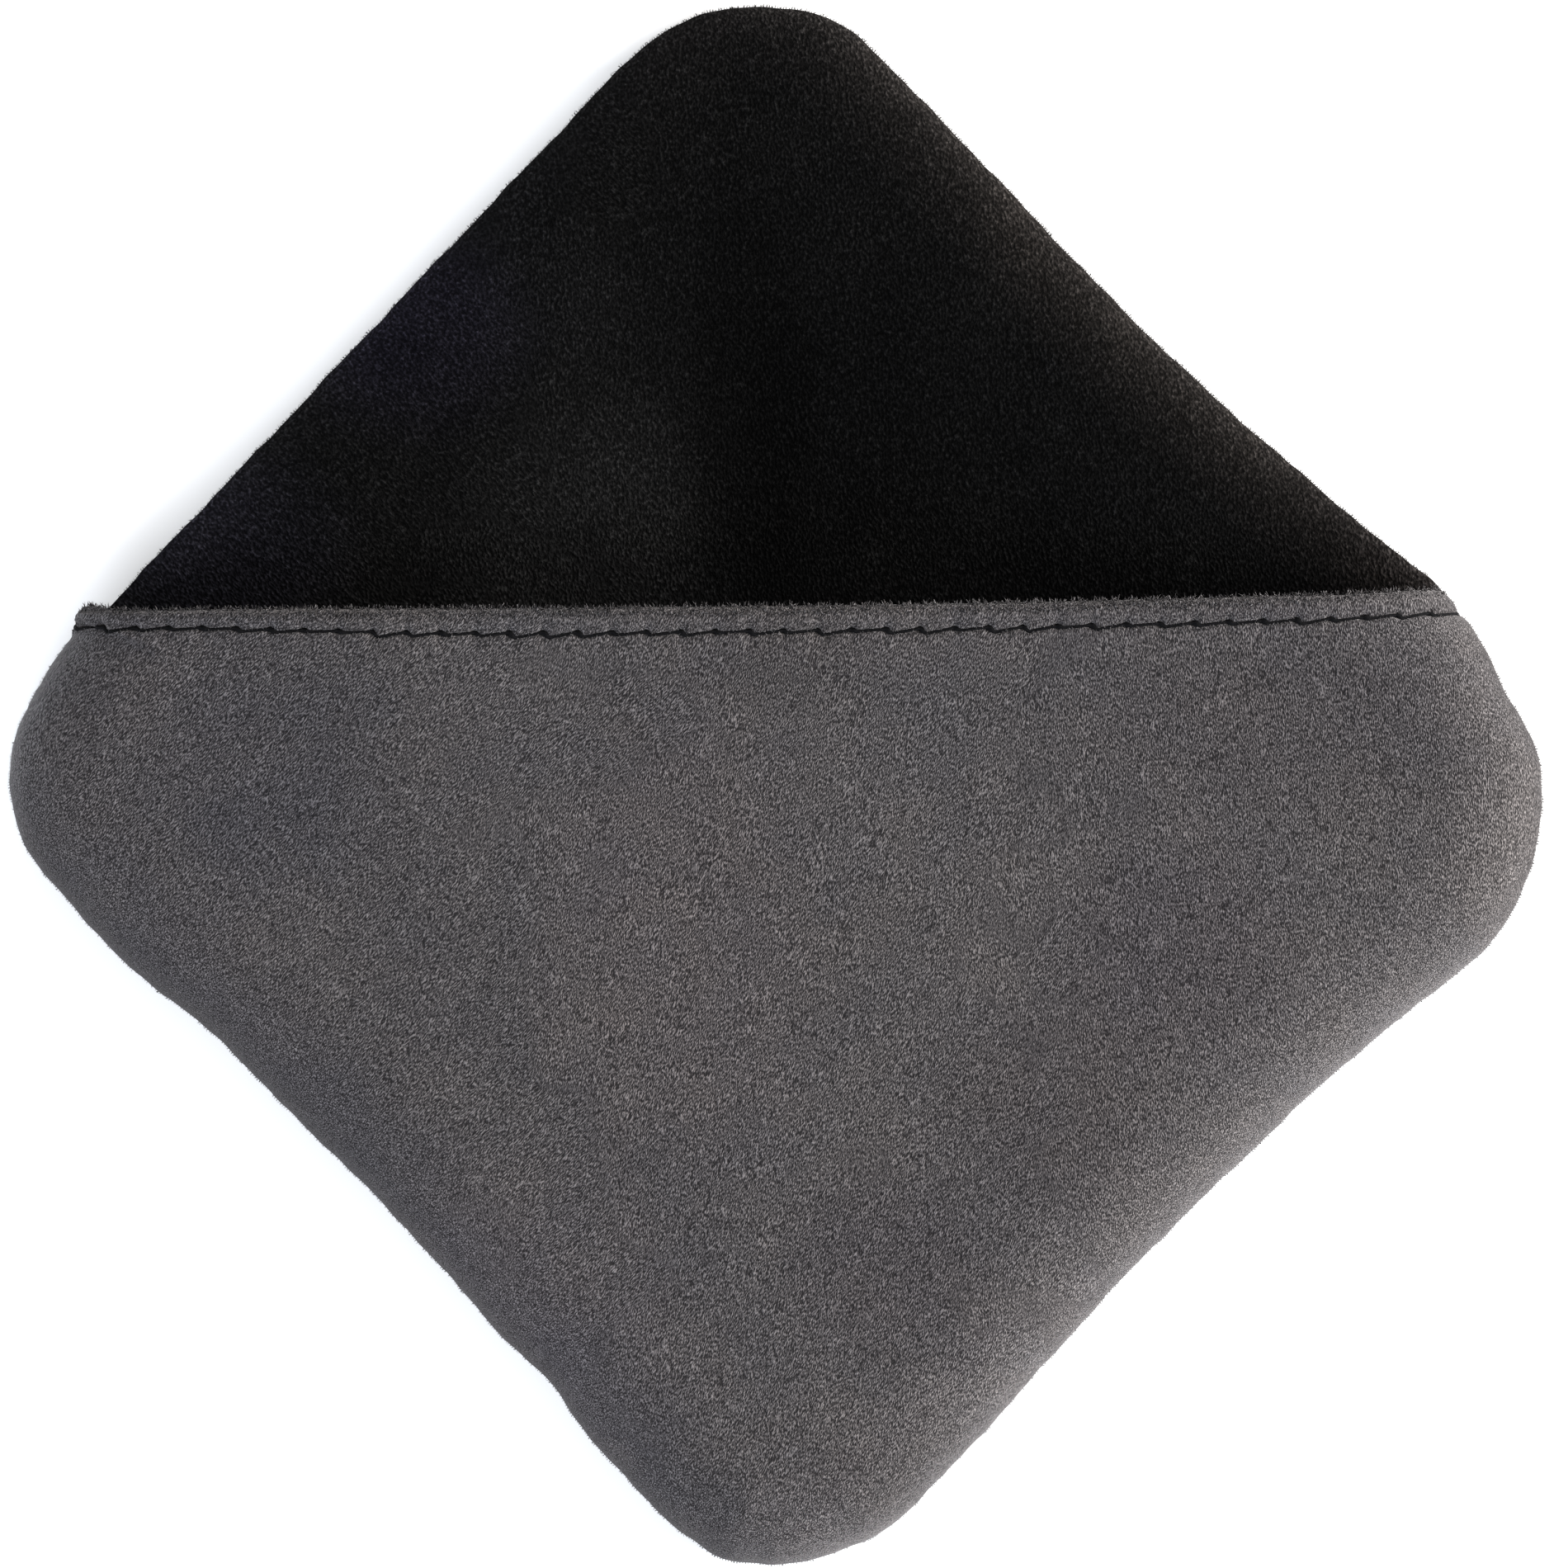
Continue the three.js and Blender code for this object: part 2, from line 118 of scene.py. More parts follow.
# The gentle unevenness of limp cloth: its height, how far inside the edge it grows to that, and for each
# wave its turns to the right and upwards, in radians a millimetre, and its phase.
WAVE_HEIGHT = 0.5
POCKET_WAVES_GROW = (4.0, 20.0)
LINING_WAVES_GROW = (2.0, 14.0)
CLOTH_WAVES = ((0.16, 0.07, 0.4), (-0.09, 0.15, 2.1), (0.05, -0.21, 4.0), (0.23, 0.13, 1.2))

# The hem along the mouth. The run of a stitch's drop and the place of its knot are shares of the stitch,
# and the unevenness is a share of the drop.
HEM_DEPTH = 5.0
HEM_STEP_RUN = 0.35
HEM_FADE = (2.0, 9.0)
BEAD_HEIGHT = 0.3
BEAD_POWER = 1.5
RELIEF_FADE = (-1.0, 1.0)
FOLD_ROUND = 0.4
STITCH_INSET = 2.15
STITCH_CLIMBS = ((0.6, 25.0, 58.0), (0.4, 57.0, 62.0))
STITCH_LENGTH = 3.0
STITCH_DROP = 0.44
STITCH_DROP_RUN = 0.18
STITCH_UNEVEN = (0.4, 1.3)
STITCH_SEED = 5
THREAD_DIAMETER = 0.31
THREAD_DEPTH = 0.2
PLY_DEPTH = 0.15
PLY_TURN_IN_RADII = 5
BOBBIN_SHORT_BY = 3
HOLE_SINK = 0.15
# The thread swells at its knots, and the dark swell also stands for the shade inside each needle hole.
KNOT_AT = 0.07
KNOT_SPREAD = 0.38
KNOT_GAIN = (0.25, 0.9)
SEAM_THREAD_DEPTH = 0.2
SEAM_THREAD_DIAMETER = 0.12
GROOVE_DEPTH = 0.3
GROOVE_SPREAD = 0.14
HOLE_DEPTH = 0.4
HOLE_SPREAD = 0.24
PUCKER = 0.14
PUCKER_REACH = (2 * HOLE_SPREAD, 4 * HOLE_SPREAD)

# The hem's left end is a round nub that stands out past the cloth behind it, and above the hem.
HEM_END_PROUD = 0.8
HEM_END_RUN = 6.5
HEM_END_POWER = 0.6
NUB_PROUD = 1.15
NUB_PROUD_AT = (12.7, 14.1)
NUB_X = -60.6
NUB_SPREAD = 2.0
NUB_HEIGHT = 0.6
NUB_FALL = 2.2
NUB_FALL_AT = (61.0, 63.0)

# How finely the cloth is divided. The gap between its last ring and its lattice is a share of a step, and
# the hem's rows lie close together at its fold, at its stitches and where the turned layer ends.
LATTICE_REACH = 80
LATTICE_GAP = 0.6
RING_STEP = 0.8
RING_EVERY = max(1, round(RING_STEP / OUTLINE_STEP))
ROLL_STEPS = 10
UNDER_STEPS = 6
LIP_STEPS = 3
POCKET_STEP = 0.8
LINING_STEP = 0.9
REAR_STEP = 1.5
HEM_STEP = 0.2
HEM_ROWS = (0.06, 0.16, 0.3, 0.5, 0.75, 1.0, 1.2, 1.35, 1.47, *np.arange(1.55, 2.5, 0.08), 2.6, 2.75, 2.95,
            3.3, 3.8, 4.4, 4.8, 5.05, 5.3, 5.7)
HEM_ZONE = 6.2
HEM_SEARCH = 75
HEM_SEARCH_STEP = 0.05
LEAST_CURVE_SHARE = 0.3
THREAD_SIDES = 8
STEPS_PER_STITCH = 16

# Fibres of the nap that stand out where the cloth is seen edge on. They aim out of the cloth by their
# stand, and along it by their lean.
FOLD_FIBRE = {"length": 0.55, "radius": 0.055, "stand": 0.35, "lean": (0, 0.9, 0)}
HEM_FIBRE = {"length": 0.32, "radius": 0.07, "stand": 0.25, "lean": (0.4, 0.8, 0)}
STITCH_FIBRE = {"length": 0.24, "radius": 0.04, "stand": 0.4, "lean": (0, -0.8, 0)}
RIM_FIBRE = {"length": 0.22, "radius": 0.032, "stand": 1.0, "lean": (0, 0, 0)}
PLUSH_FIBRE = {"length": 0.3, "radius": 0.032}
FIBRE_PROFILE = ((0.0, 1.0), (0.4, 0.85), (0.75, 0.6), (1.0, 0.15))
FIBRE_SPREAD = 0.6
FIBRE_CURL = 0.3
FIBRE_LENGTHS = (0.4, 1)
FIBRE_ASIDE = (0.3, 0.5, 0.8)
FIBRE_SHADES = (-0.9, 1.35)
FIBRE_SEED = 11
FOLD_FIBRES = 1400
HEM_FIBRES = 1700
STITCH_FIBRES = 800
EDGE_FIBRES = 4000

# Where their roots are: below the fold, beside the stitches, and how far from the mouth along the edge.
FOLD_ROOTS = (0, 0.15)
HEM_ROOTS = (0.1, 0.9)
STITCH_ROOTS = (0.12, 0.25)
EDGE_ROOTS_CLEAR = 1
NUB_ROOTS_REACH = 1
ROOTS_PAST_EDGE = 0.1

# Soft ovals that darken or lighten the cloth: in part the nap's own tone where it was brushed another way,
# in part painted shade and light. On the suede they paint the shade of a valley inside the lower right edge
# and below the hem, cooler shade on the left and light on the lower left; on the plush, a bright oval of
# painted sheen left of the middle, cool painted light on the left and painted light by the mouth. The
# middle, half size and gain of each. The core is the share of it that has the whole gain.
PATCH_CORE = 0.25
SUEDE_PATCHES = (
    {"at": (-8.0, -14.0), "half": (16.0, 30.0), "gain": (1.08, 1.05, 1.04)},
    {"at": (-46.0, 1.5), "half": (18.0, 19.0), "gain": (0.82, 0.84, 0.89)},
    {"at": (44.0, 6.0), "half": (28.0, 14.0), "gain": (0.82, 0.82, 0.84)},
    {"at": (1.0, 11.0), "half": (12.0, 7.0), "gain": (0.86, 0.86, 0.86)},
    {"at": (35.0, -14.0), "half": (15.0, 14.0), "gain": (0.84, 0.83, 0.86)},
    {"at": (24.0, -28.0), "half": (14.0, 14.0), "gain": (0.84, 0.83, 0.84)},
    {"at": (10.0, -42.0), "half": (13.0, 12.0), "gain": (0.86, 0.85, 0.87)},
    {"at": (-22.0, -48.0), "half": (22.0, 20.0), "gain": (1.14, 1.12, 1.12), "core": 0.3},
    {"at": (15.0, -62.0), "half": (14.0, 9.0), "gain": (0.82, 0.82, 0.82), "core": 0.35},
)
PLUSH_PATCHES = (
    {"at": (-16.0, 17.0), "half": (18.0, 22.0), "gain": (2.0, 2.0, 2.0), "core": 0.3},
    {"at": (-21.0, 43.0), "half": (10.0, 10.0), "gain": (1.4, 1.4, 1.45)},
    {"at": (-2.5, 33.0), "half": (8.0, 29.0), "gain": (0.57, 0.57, 0.57), "core": 0.35},
    {"at": (8.0, 30.0), "half": (12.0, 27.0), "gain": (0.88, 0.88, 0.88), "core": 0.3},
    {"at": (24.0, 19.0), "half": (24.0, 11.0), "gain": (1.4, 1.4, 1.4)},
    {"at": (-32.0, 40.0), "half": (13.0, 12.0), "gain": (1.55, 1.45, 2.0)},
    {"at": (-49.0, 21.0), "half": (15.0, 11.0), "gain": (1.65, 1.6, 2.0)},
    {"at": (53.0, 19.0), "half": (18.0, 14.0), "gain": (0.75, 0.75, 0.77)},
)

# Painted light and shade towards the edge, where the cloth is bent round: lighter and warmer on the right,
# the lit side, cooler on the left, and the suede's outermost edge darkened against its sheen. A distance
# inside the edge, and the gain there on the left and on the right.
SUEDE_RIM_LIGHT = (
    {"inset": 0.0, "left": (0.6, 0.6, 0.61), "right": (0.9, 0.9, 0.9)},
    {"inset": 1.8, "left": (0.86, 0.86, 0.88), "right": (1.25, 1.25, 1.24)},
    {"inset": 4.0, "left": (1.15, 1.14, 1.15), "right": (1.15, 1.15, 1.14)},
    {"inset": 6.0, "left": (1.08, 1.07, 1.08), "right": (1.09, 1.09, 1.09)},
    {"inset": 11.0, "left": (1.0, 1.0, 1.0), "right": (1.0, 1.0, 1.0)},
)
PLUSH_RIM_LIGHT = (
    {"inset": 0.0, "left": (2.4, 2.4, 2.5), "right": (6.5, 5.9, 5.5)},
    {"inset": 1.2, "left": (1.8, 1.8, 1.88), "right": (4.1, 3.7, 3.45)},
    {"inset": 3.0, "left": (1.3, 1.3, 1.35), "right": (2.55, 2.33, 2.17)},
    {"inset": 5.0, "left": (1.15, 1.15, 1.17), "right": (1.75, 1.63, 1.57)},
    {"inset": 8.0, "left": (1.0, 1.0, 1.0), "right": (1.0, 1.0, 1.0)},
)
# How far either side of the middle the painted rim light goes over from its left gains to its right ones.
RIM_SIDES = 20.0

# The look of each nap. Its leans are turns in radians, from the left to the right, and each gives way to
# the next at a divide. Its shades go by height, from its depths to its tips: the fibres' own tone, with
# painted shade in the depths and painted highlights at the tips. A swirl has a size and pushes the nap by
# an amount.
# Sweeps are soft patches, with their size and both gains.
SUEDE_LOOK = {
    "leans": (-0.95, -1.25, -1.65),
    "divides": (-18.0, 24.0),
    "fibres": {"length": 0.25, "width": 0.09, "detail": 0.0},
    "shades": (
        (0.38, (0.0183, 0.0174, 0.0177)),
        (0.5, (0.049, 0.0464, 0.0474)),
        (0.6, (0.094, 0.0893, 0.0893)),
        (0.72, (0.178, 0.1685, 0.1675)),
    ),
    "swirl": {"size": 5, "amount": 3},
    "sweeps": (
        {"size": 22, "low": (0.95, 0.95, 0.969), "high": (1.05, 1.03425, 1.029)},
        {"size": 6, "low": (0.96, 0.96, 0.9792), "high": (1.04, 1.0244, 1.0192)},
    ),
    "patches": SUEDE_PATCHES,
    "rim": SUEDE_RIM_LIGHT,
    "finish": {"depth": 0.17, "sheen": 0.45, "sheen_tint": (0.8, 0.77, 0.77)},
}
PLUSH_LOOK = {
    "leans": (-2.35, -1.75),
    "divides": (-22.0,),
    "fibres": {"length": 0.34, "width": 0.24, "detail": 0.9},
    "shades": (
        (0.38, (0.0013, 0.0013, 0.0013)),
        (0.5, (0.0024, 0.0024, 0.0024)),
        (0.62, (0.0049, 0.0049, 0.0049)),
        (0.74, (0.0115, 0.0115, 0.0115)),
    ),
    "swirl": {"size": 6, "amount": 4},
    "sweeps": ({"size": 9, "low": (0.98, 0.98, 1.0), "high": (1.25, 1.23, 1.23)},),
    "patches": PLUSH_PATCHES,
    "rim": PLUSH_RIM_LIGHT,
    "finish": {"depth": 0.25, "sheen": 0.02, "sheen_tint": (0.5, 0.46, 0.44)},
}
SWEEP_RANGE = (0.35, 0.65)
NAP_CURL = {"size": 1.1, "amount": 0.12}
LEAN_SWIRL = {"size": 12, "amount": 60}
LEAN_BLEND = 2
GRAIN_SHARE = 0.18
THREAD_FUZZ = {"size": 0.09, "depth": 0.03}
THREAD_SHADES = ((0.3, (0.002, 0.002, 0.0022)), (0.7, (0.008, 0.008, 0.009)))

# The photograph's frame: its size in pixels, its scale, and the pixel over the outline's middle.
PHOTO_SIDE = 1900
PHOTO_SCALE = 13.7
PHOTO_MIDDLE = (940.5, 951.0)
LENS = 150.0
SENSOR = 36.0
FOCUS_HEIGHT = 4.0

# The studio, in metres and watts. The floor lies a hair below the cloth, and glows a little to stay white.
FLOOR_HALF = 1.5
FLOOR_LEVEL = -0.05 * MM
FLOOR_GLOW = 0.25
WORLD_LIGHT = {"strength": 0.5, "colour": (1.0, 1.0, 1.0)}
LIGHTS = (
    {"name": "key", "place": (1.54, 0.2, 0.42), "size": (1.4, 0.6), "power": 83.0,
     "colour": (1.0, 0.97, 0.94)},
    {"name": "fill", "place": (-0.8, -1.05, 0.7), "size": (1.0, 1.0), "power": 24.0,
     "colour": (0.86, 0.93, 1.04)},
    {"name": "back", "place": (-0.2, 1.4, 0.5), "size": (0.8, 0.8), "power": 3.0,
     "colour": (1.0, 1.0, 1.0)},
)


# The outline

def paired(x, y):
    return np.stack([x, y], axis=1)


def corner_arc(index):
    """The arc that rounds one corner of the outline, as points in anticlockwise order."""
    corner = np.array(CORNERS[index]["at"])
    radius = CORNERS[index]["round"]
    back = np.array(CORNERS[index - 1]["at"]) - corner
    ahead = np.array(CORNERS[(index + 1) % 4]["at"]) - corner
    back = back / np.linalg.norm(back)
    ahead = ahead / np.linalg.norm(ahead)
    half = np.arccos(back @ ahead) / 2
    inward = (back + ahead) / np.linalg.norm(back + ahead)
    centre = corner + inward * radius / np.sin(half)
    first = corner + back * radius / np.tan(half) - centre
    turn = np.pi - 2 * half
    start = np.arctan2(first[1], first[0])
    angle = start + np.linspace(0, turn, max(2, int(turn * radius / OUTLINE_STEP)))
    return centre + radius * paired(np.cos(angle), np.sin(angle))


def drawn_edge(start, end, draw):
    """The points between two corners, on an edge that its seam draws in towards its middle."""
    run = end - start
    length = np.linalg.norm(run)
    inward = np.array([-run[1], run[0]]) / length
    share = np.linspace(0, 1, int(length / OUTLINE_STEP))[1:-1, None]
    return start + share * run + draw * np.sin(np.pi * share) ** 2 * inward


def evenly(points, step):
    """A closed line again, with points about step apart."""
    closed = np.concatenate([points, points[:1]])
    along = np.concatenate([[0], np.cumsum(np.linalg.norm(np.diff(closed, axis=0), axis=1))])
    at = np.linspace(0, along[-1], int(along[-1] / step), endpoint=False)
    return np.stack([np.interp(at, along, closed[:, axis]) for axis in range(2)], axis=1)


def softened(points, step, spread):
    """A closed line with its changes of curve eased over a spread."""
    reach = int(3 * spread / step)
    weights = np.exp(-0.5 * (np.arange(-reach, reach + 1) * step / spread) ** 2)
    total = sum(weight * np.roll(points, shift - reach, axis=0) for shift, weight in enumerate(weights))
    return total / weights.sum()


def outline_points():
    """The whole outline, with its corners rounded, its edges drawn in and its touches made."""
    arcs = [corner_arc(index) for index in range(4)]
    parts = []
    for index, arc in enumerate(arcs):
        parts.append(arc)
        parts.append(drawn_edge(arc[-1], arcs[(index + 1) % 4][0], CORNERS[index]["draw"]))
    line = softened(evenly(np.concatenate(parts), OUTLINE_STEP), OUTLINE_STEP, OUTLINE_SOFTNESS)
    return line + outward_normals(line) * touches(line)[:, None]


def outward_normals(line):
    """The direction straight out of a closed anticlockwise line, at each point of it."""
    along = np.roll(line, -1, axis=0) - np.roll(line, 1, axis=0)
    along = along / np.linalg.norm(along, axis=1, keepdims=True)
    return paired(along[:, 1], -along[:, 0])


def touches(line):
    """How far the outline's touches move each of its points outwards."""
    total = np.zeros(len(line))
    for touch in OUTLINE_TOUCHES:
        distance = np.linalg.norm(line - np.array(touch["at"]), axis=1)
        total += touch["out"] * np.exp(-(distance / touch["spread"]) ** 2)
    return total


class Edge:
    """A closed line with its outward normals and curvature, moved outwards by a shift at each point."""

    def __init__(self, line, shift):
        along = np.roll(line, -1, axis=0) - np.roll(line, 1, axis=0)
        step = np.linalg.norm(along, axis=1, keepdims=True)
        self.along = along / step
        self.normals = outward_normals(line)
        turn = np.roll(self.normals, -1, axis=0) - np.roll(self.normals, 1, axis=0)
        self.curve = (turn * self.along).sum(axis=1) / step[:, 0]
        self.points = line + self.normals * shift[:, None]
        self.tree = KDTree(len(line))
        for index, (x, y) in enumerate(self.points):
            self.tree.insert((x, y, 0), index)
        self.tree.balance()

    def ring(self, inset, every):
        """Places at one distance inside the edge, with that distance, their feet and their normals."""
        feet = self.points[::every]
        normals = self.normals[::every]
        return feet - normals * inset, np.full(len(feet), float(inset)), feet, normals

    def locate(self, places):
        """How far inside the edge each place lies, with its foot on the edge and the normal there."""
        near = np.array([self.tree.find((x, y, 0))[1] for x, y in places])
        inset = ((self.points[near] - places) * self.normals[near]).sum(axis=1)
        slip = ((places - self.points[near]) * self.along[near]).sum(axis=1)
        slip = slip / np.maximum(1 - self.curve[near] * inset, LEAST_CURVE_SHARE)
        feet = self.points[near] + slip[:, None] * self.along[near]
        normals = self.normals[near] + (slip * self.curve[near])[:, None] * self.along[near]
        normals = normals / np.linalg.norm(normals, axis=1, keepdims=True)
        return ((feet - places) * normals).sum(axis=1), feet, normals


def wander(line):
    """How far the sewn edge wanders out of its smooth line, at each point of it."""
    along = np.arange(len(line)) * OUTLINE_STEP
    whole = len(line) * OUTLINE_STEP
    return sum(amount * np.sin(2 * np.pi * round(whole / length) * along / whole + length)
               for amount, length in EDGE_WANDER)


def smoothstep(value, low, high):
    """0 up to low and 1 from high on, eased between the two."""
    share = np.clip((value - low) / (high - low), 0, 1)
    return share * share * (3 - 2 * share)


def hem_end_shift(line):
    """How far the pocket's edge stands out at the hem's left end."""
    share = np.clip((line[:, 1] - MOUTH_Y) / HEM_END_RUN + 1, 0, 1)
    nub = NUB_PROUD * smoothstep(line[:, 1], *NUB_PROUD_AT)
    return np.where(line[:, 0] < 0, HEM_END_PROUD * share ** HEM_END_POWER + nub, 0)


def hem_y(x):
    """The line of the hem's fold, which its stitches follow."""
    left, right = MOUTH_SPAN
    climb = MOUTH_RISE * np.clip((x - left) / (right - left), 0, 1) ** 3
    return MOUTH_Y + climb + MOUTH_END_RISE * smoothstep(x, *MOUTH_END_AT)


def stitch_inset(x):
    """How far below the hem's fold the stitches run: less towards its left end."""
    return STITCH_INSET - sum(climb * smoothstep(-x, start, end) for climb, start, end in STITCH_CLIMBS)


def mouth_y(x):
    """The fold itself, with the nub at its left end."""
    nub = NUB_HEIGHT * np.exp(-((x - NUB_X) / NUB_SPREAD) ** 2)
    return hem_y(x) + nub - NUB_FALL * smoothstep(-x, *NUB_FALL_AT)


def above_fold(values, y):
    """A pair of values, one below the fold line and one above it, eased between the two."""
    return values[0] + (values[1] - values[0]) * smoothstep(y, FOLD_Y, FOLD_Y + CORNER_RUN)


def lining_shift(line):
    """The lining's edge lies inside the pocket's, and comes out to the rear panel's above the mouth."""
    above = line[:, 1] - mouth_y(line[:, 0])
    return -LINING_INSET[0] + (LINING_INSET[0] - LINING_INSET[1]) * smoothstep(above, *LINING_COMES_OUT)


outline = outline_points()
middle = (outline.min(axis=0) + outline.max(axis=0)) / 2
back_edge = Edge(outline, wander(outline))
pocket_edge = Edge(outline, wander(outline) + hem_end_shift(outline))
lining_edge = Edge(outline, wander(outline) + lining_shift(outline))


# Heights

def rise_inside(x, y, start, run, power):
    """0 within start of any side of the outline, and 1 a run further inside all four."""
    product = np.ones_like(x)
    for index, corner in enumerate(CORNERS):
        here = np.array(corner["at"])
        along = np.array(CORNERS[(index + 1) % 4]["at"]) - here
        along = along / np.linalg.norm(along)
        inside = (y - here[1]) * along[0] - (x - here[0]) * along[1]
        product = product * np.sin(np.pi / 2 * np.clip((inside - start) / run, 0, 1)) ** power
    return product


def soft_waves(x, y):
    """A gentle unevenness of limp cloth, from 0 to 1."""
    total = sum(np.sin(across * x + up * y + phase) for across, up, phase in CLOTH_WAVES)
    return 0.5 + total / (2 * len(CLOTH_WAVES))


def pocket_height(x, y, inset):
    """What the pocket's sheet adds to the height of its turned edge."""
    crown = POCKET_CROWN * rise_inside(x, y, CROWN_START, CROWN_RUN, CROWN_POWER)
    waves = (soft_waves(x, y) - 0.5) * smoothstep(inset, *POCKET_WAVES_GROW)
    return crown + WAVE_HEIGHT * waves


def lining_height(x, y, inset):
    """What the lining's sheet adds to the height of its turned edge."""
    top = above_fold(LINING_TOP, y)
    sunk = rise_inside(x, y, LINING_START, LINING_RUN, LINING_POWER)
    waves = WAVE_HEIGHT * soft_waves(y, -x) * smoothstep(inset, *LINING_WAVES_GROW)
    return (LINING_FIELD - top) * sunk + waves


# Cloth


def roll_insets(cloth):
    """Distances inside the edge at which a turned cloth has its rings, from the sheet to the raw edge."""
    bend = np.linspace(0, np.pi / 2, ROLL_STEPS + 1)
    under = under_length(cloth)
    return np.concatenate([
        cloth["roll"] * (1 - np.sin(bend)),
        -under * np.arange(1, UNDER_STEPS + 1) / UNDER_STEPS,
        -under - SEAM_ALLOWANCE * np.arange(1, LIP_STEPS + 1) / LIP_STEPS,
    ])


def under_length(cloth):
    """The length of the lower quarter of a turned edge."""
    return np.pi / 4 * (cloth["under"] + cloth["drop"])


def turned_faces(cloth, level, rise, places, inset, normals, height, thickness):
    """The outer and inner points of a cloth whose edge is turned under, and the outward normals."""
    roll = cloth["roll"]
    under = under_length(cloth)
    upper = np.arcsin(np.clip(1 - inset / roll, 0, 1))
    lower = np.pi / 2 * (1 + np.clip(-inset / under, 0, 1))
    bend = np.where(inset >= 0, upper, lower)
    reach = np.where(inset >= 0, roll, cloth["under"])
    lift = np.where(inset >= 0, rise, cloth["drop"])
    straight = np.maximum(inset - roll, 0) + np.maximum(-inset - under, 0)
    raised = level + np.where(inset >= 0, height, 0)

    def face(depth):
        inside = reach - (reach - depth) * np.sin(bend) + straight
        place = places + normals * (inset - inside)[:, None]
        return np.column_stack([place, raised + (lift - depth) * np.cos(bend)])

    outward = np.column_stack([normals * np.sin(bend)[:, None], np.cos(bend)])
    return face(0), face(thickness), outward


def lattice(step):
    """Places over the whole cloth, in staggered rows."""
    rows = np.arange(-LATTICE_REACH, LATTICE_REACH, step * np.sqrt(3) / 2)
    columns = np.arange(-LATTICE_REACH, LATTICE_REACH, step)
    places = [paired(columns + step / 2 * (index % 2), np.full(len(columns), row))
              for index, row in enumerate(rows)]
    return np.concatenate(places)


def triangulated(places, loop):
    """Triangles between places, inside the loop that the first places make."""
    coordinates = [Vector(place) for place in places]
    made = delaunay_2d_cdt(coordinates, [], [list(range(loop))], 1, 1e-7)
    if len(made[0]) != len(places):
        raise ValueError("two places of a cloth lie on each other")
    return np.array(made[2])


def new_object(name, data):
    made = bpy.data.objects.new(name, data)
    bpy.context.scene.collection.objects.link(made)
    return made


def mesh_piece(name, points, faces):
    """A new object of these points, in millimetres about the outline's middle, and faces."""
    metres = (points - np.array([*middle, 0])) * MM
    mesh = bpy.data.meshes.new(name)
    mesh.from_pydata(metres.tolist(), [], [list(map(int, face)) for face in faces])
    mesh.validate()
    mesh.polygons.foreach_set("use_smooth", [True] * len(mesh.polygons))
    return new_object(name, mesh)


def cloth_piece(name, places, outer, inner, loop, inset, shared=0):
    """A closed sheet: two faces, and a strip round its raw edge. The two faces share the first places."""
    triangles = triangulated(places, loop)
    count = len(outer)
    twin = np.arange(count) + count
    twin[:shared] = np.arange(shared)
    strip = [(index, twin[index], twin[(index + 1) % loop], (index + 1) % loop)
             for index in range(loop)
             if twin[index] != index or twin[(index + 1) % loop] != (index + 1) % loop]
    faces = [*triangles, *(twin[triangles[:, ::-1]]), *strip]
    points = np.concatenate([outer, inner])
    used = np.unique(np.concatenate([np.arange(count), twin]))
    order = np.full(2 * count, -1)
    order[used] = np.arange(len(used))
    renumbered = [[order[index] for index in dict.fromkeys(face)] for face in faces]
    piece = mesh_piece(name, points[used], renumbered)
    distance = piece.data.attributes.new(INSET_ATTRIBUTE, "FLOAT", "POINT")
    distance.data.foreach_set("value", np.concatenate([inset, inset])[used] * MM)
    return piece


def plain_cloth_places(edge, cloth, step):
    """The places of a cloth with no mouth: its raw edge first, then its rings and its sheet."""
    rings = [edge.ring(inset, RING_EVERY) for inset in roll_insets(cloth)[::-1]]
    grid = lattice(step)
    inset, feet, normals = edge.locate(grid)
    inside = inset > cloth["roll"] + LATTICE_GAP * step
    field = (grid[inside], inset[inside], feet[inside], normals[inside])
    return [np.concatenate(parts) for parts in zip(*rings, field)], len(rings[0][0])


def lining_piece():
    """The plush that faces the pocket, and shows above its mouth."""
    (places, inset, feet, normals), loop = plain_cloth_places(lining_edge, PLUSH, LINING_STEP)
    level = above_fold(LINING_LEVEL, feet[:, 1])
    rise = above_fold(LINING_TOP, feet[:, 1]) - level
    height = lining_height(places[:, 0], places[:, 1], inset)
    outer, inner, _ = turned_faces(PLUSH, level, rise, places, inset, normals, height, PLUSH["thickness"])
    return cloth_piece("lining_cloth", places, outer, inner, loop, inset)


def rear_piece():
    """The plush at the back, drawn face up and then turned over."""
    (places, inset, _, normals), loop = plain_cloth_places(back_edge, REAR, REAR_STEP)
    outer, inner, _ = turned_faces(REAR, 0, REAR["rise"], places, inset, normals, 0, REAR["thickness"])
    for face in (outer, inner):
        face[:, 2] = REAR_LEVEL - face[:, 2]
    return cloth_piece("rear_cloth", places, inner, outer, loop, inset)


# The pocket

def pocket_faces(places, inset, normals, thickness):
    """The pocket's outer and inner points without its hem's relief, and the outward normals."""
    height = pocket_height(places[:, 0], places[:, 1], inset)
    return turned_faces(SUEDE, SUEDE_LEVEL, SUEDE["rise"], places, inset, normals, height, thickness)


def mouth_ends():
    """Where the mouth's line meets the pocket's raw edge, in the flat cut, on the left and on the right."""
    raw, _, _, _ = pocket_edge.ring(roll_insets(SUEDE)[-1], 1)
    below = mouth_y(raw[:, 0]) - raw[:, 1]
    crossing = np.nonzero(below * np.roll(below, -1) < 0)[0]
    ends = []
    for index in crossing:
        share = below[index] / (below[index] - below[(index + 1) % len(below)])
        ends.append(raw[index] + share * (raw[(index + 1) % len(raw)] - raw[index]))
    return sorted(ends, key=lambda end: end[0])


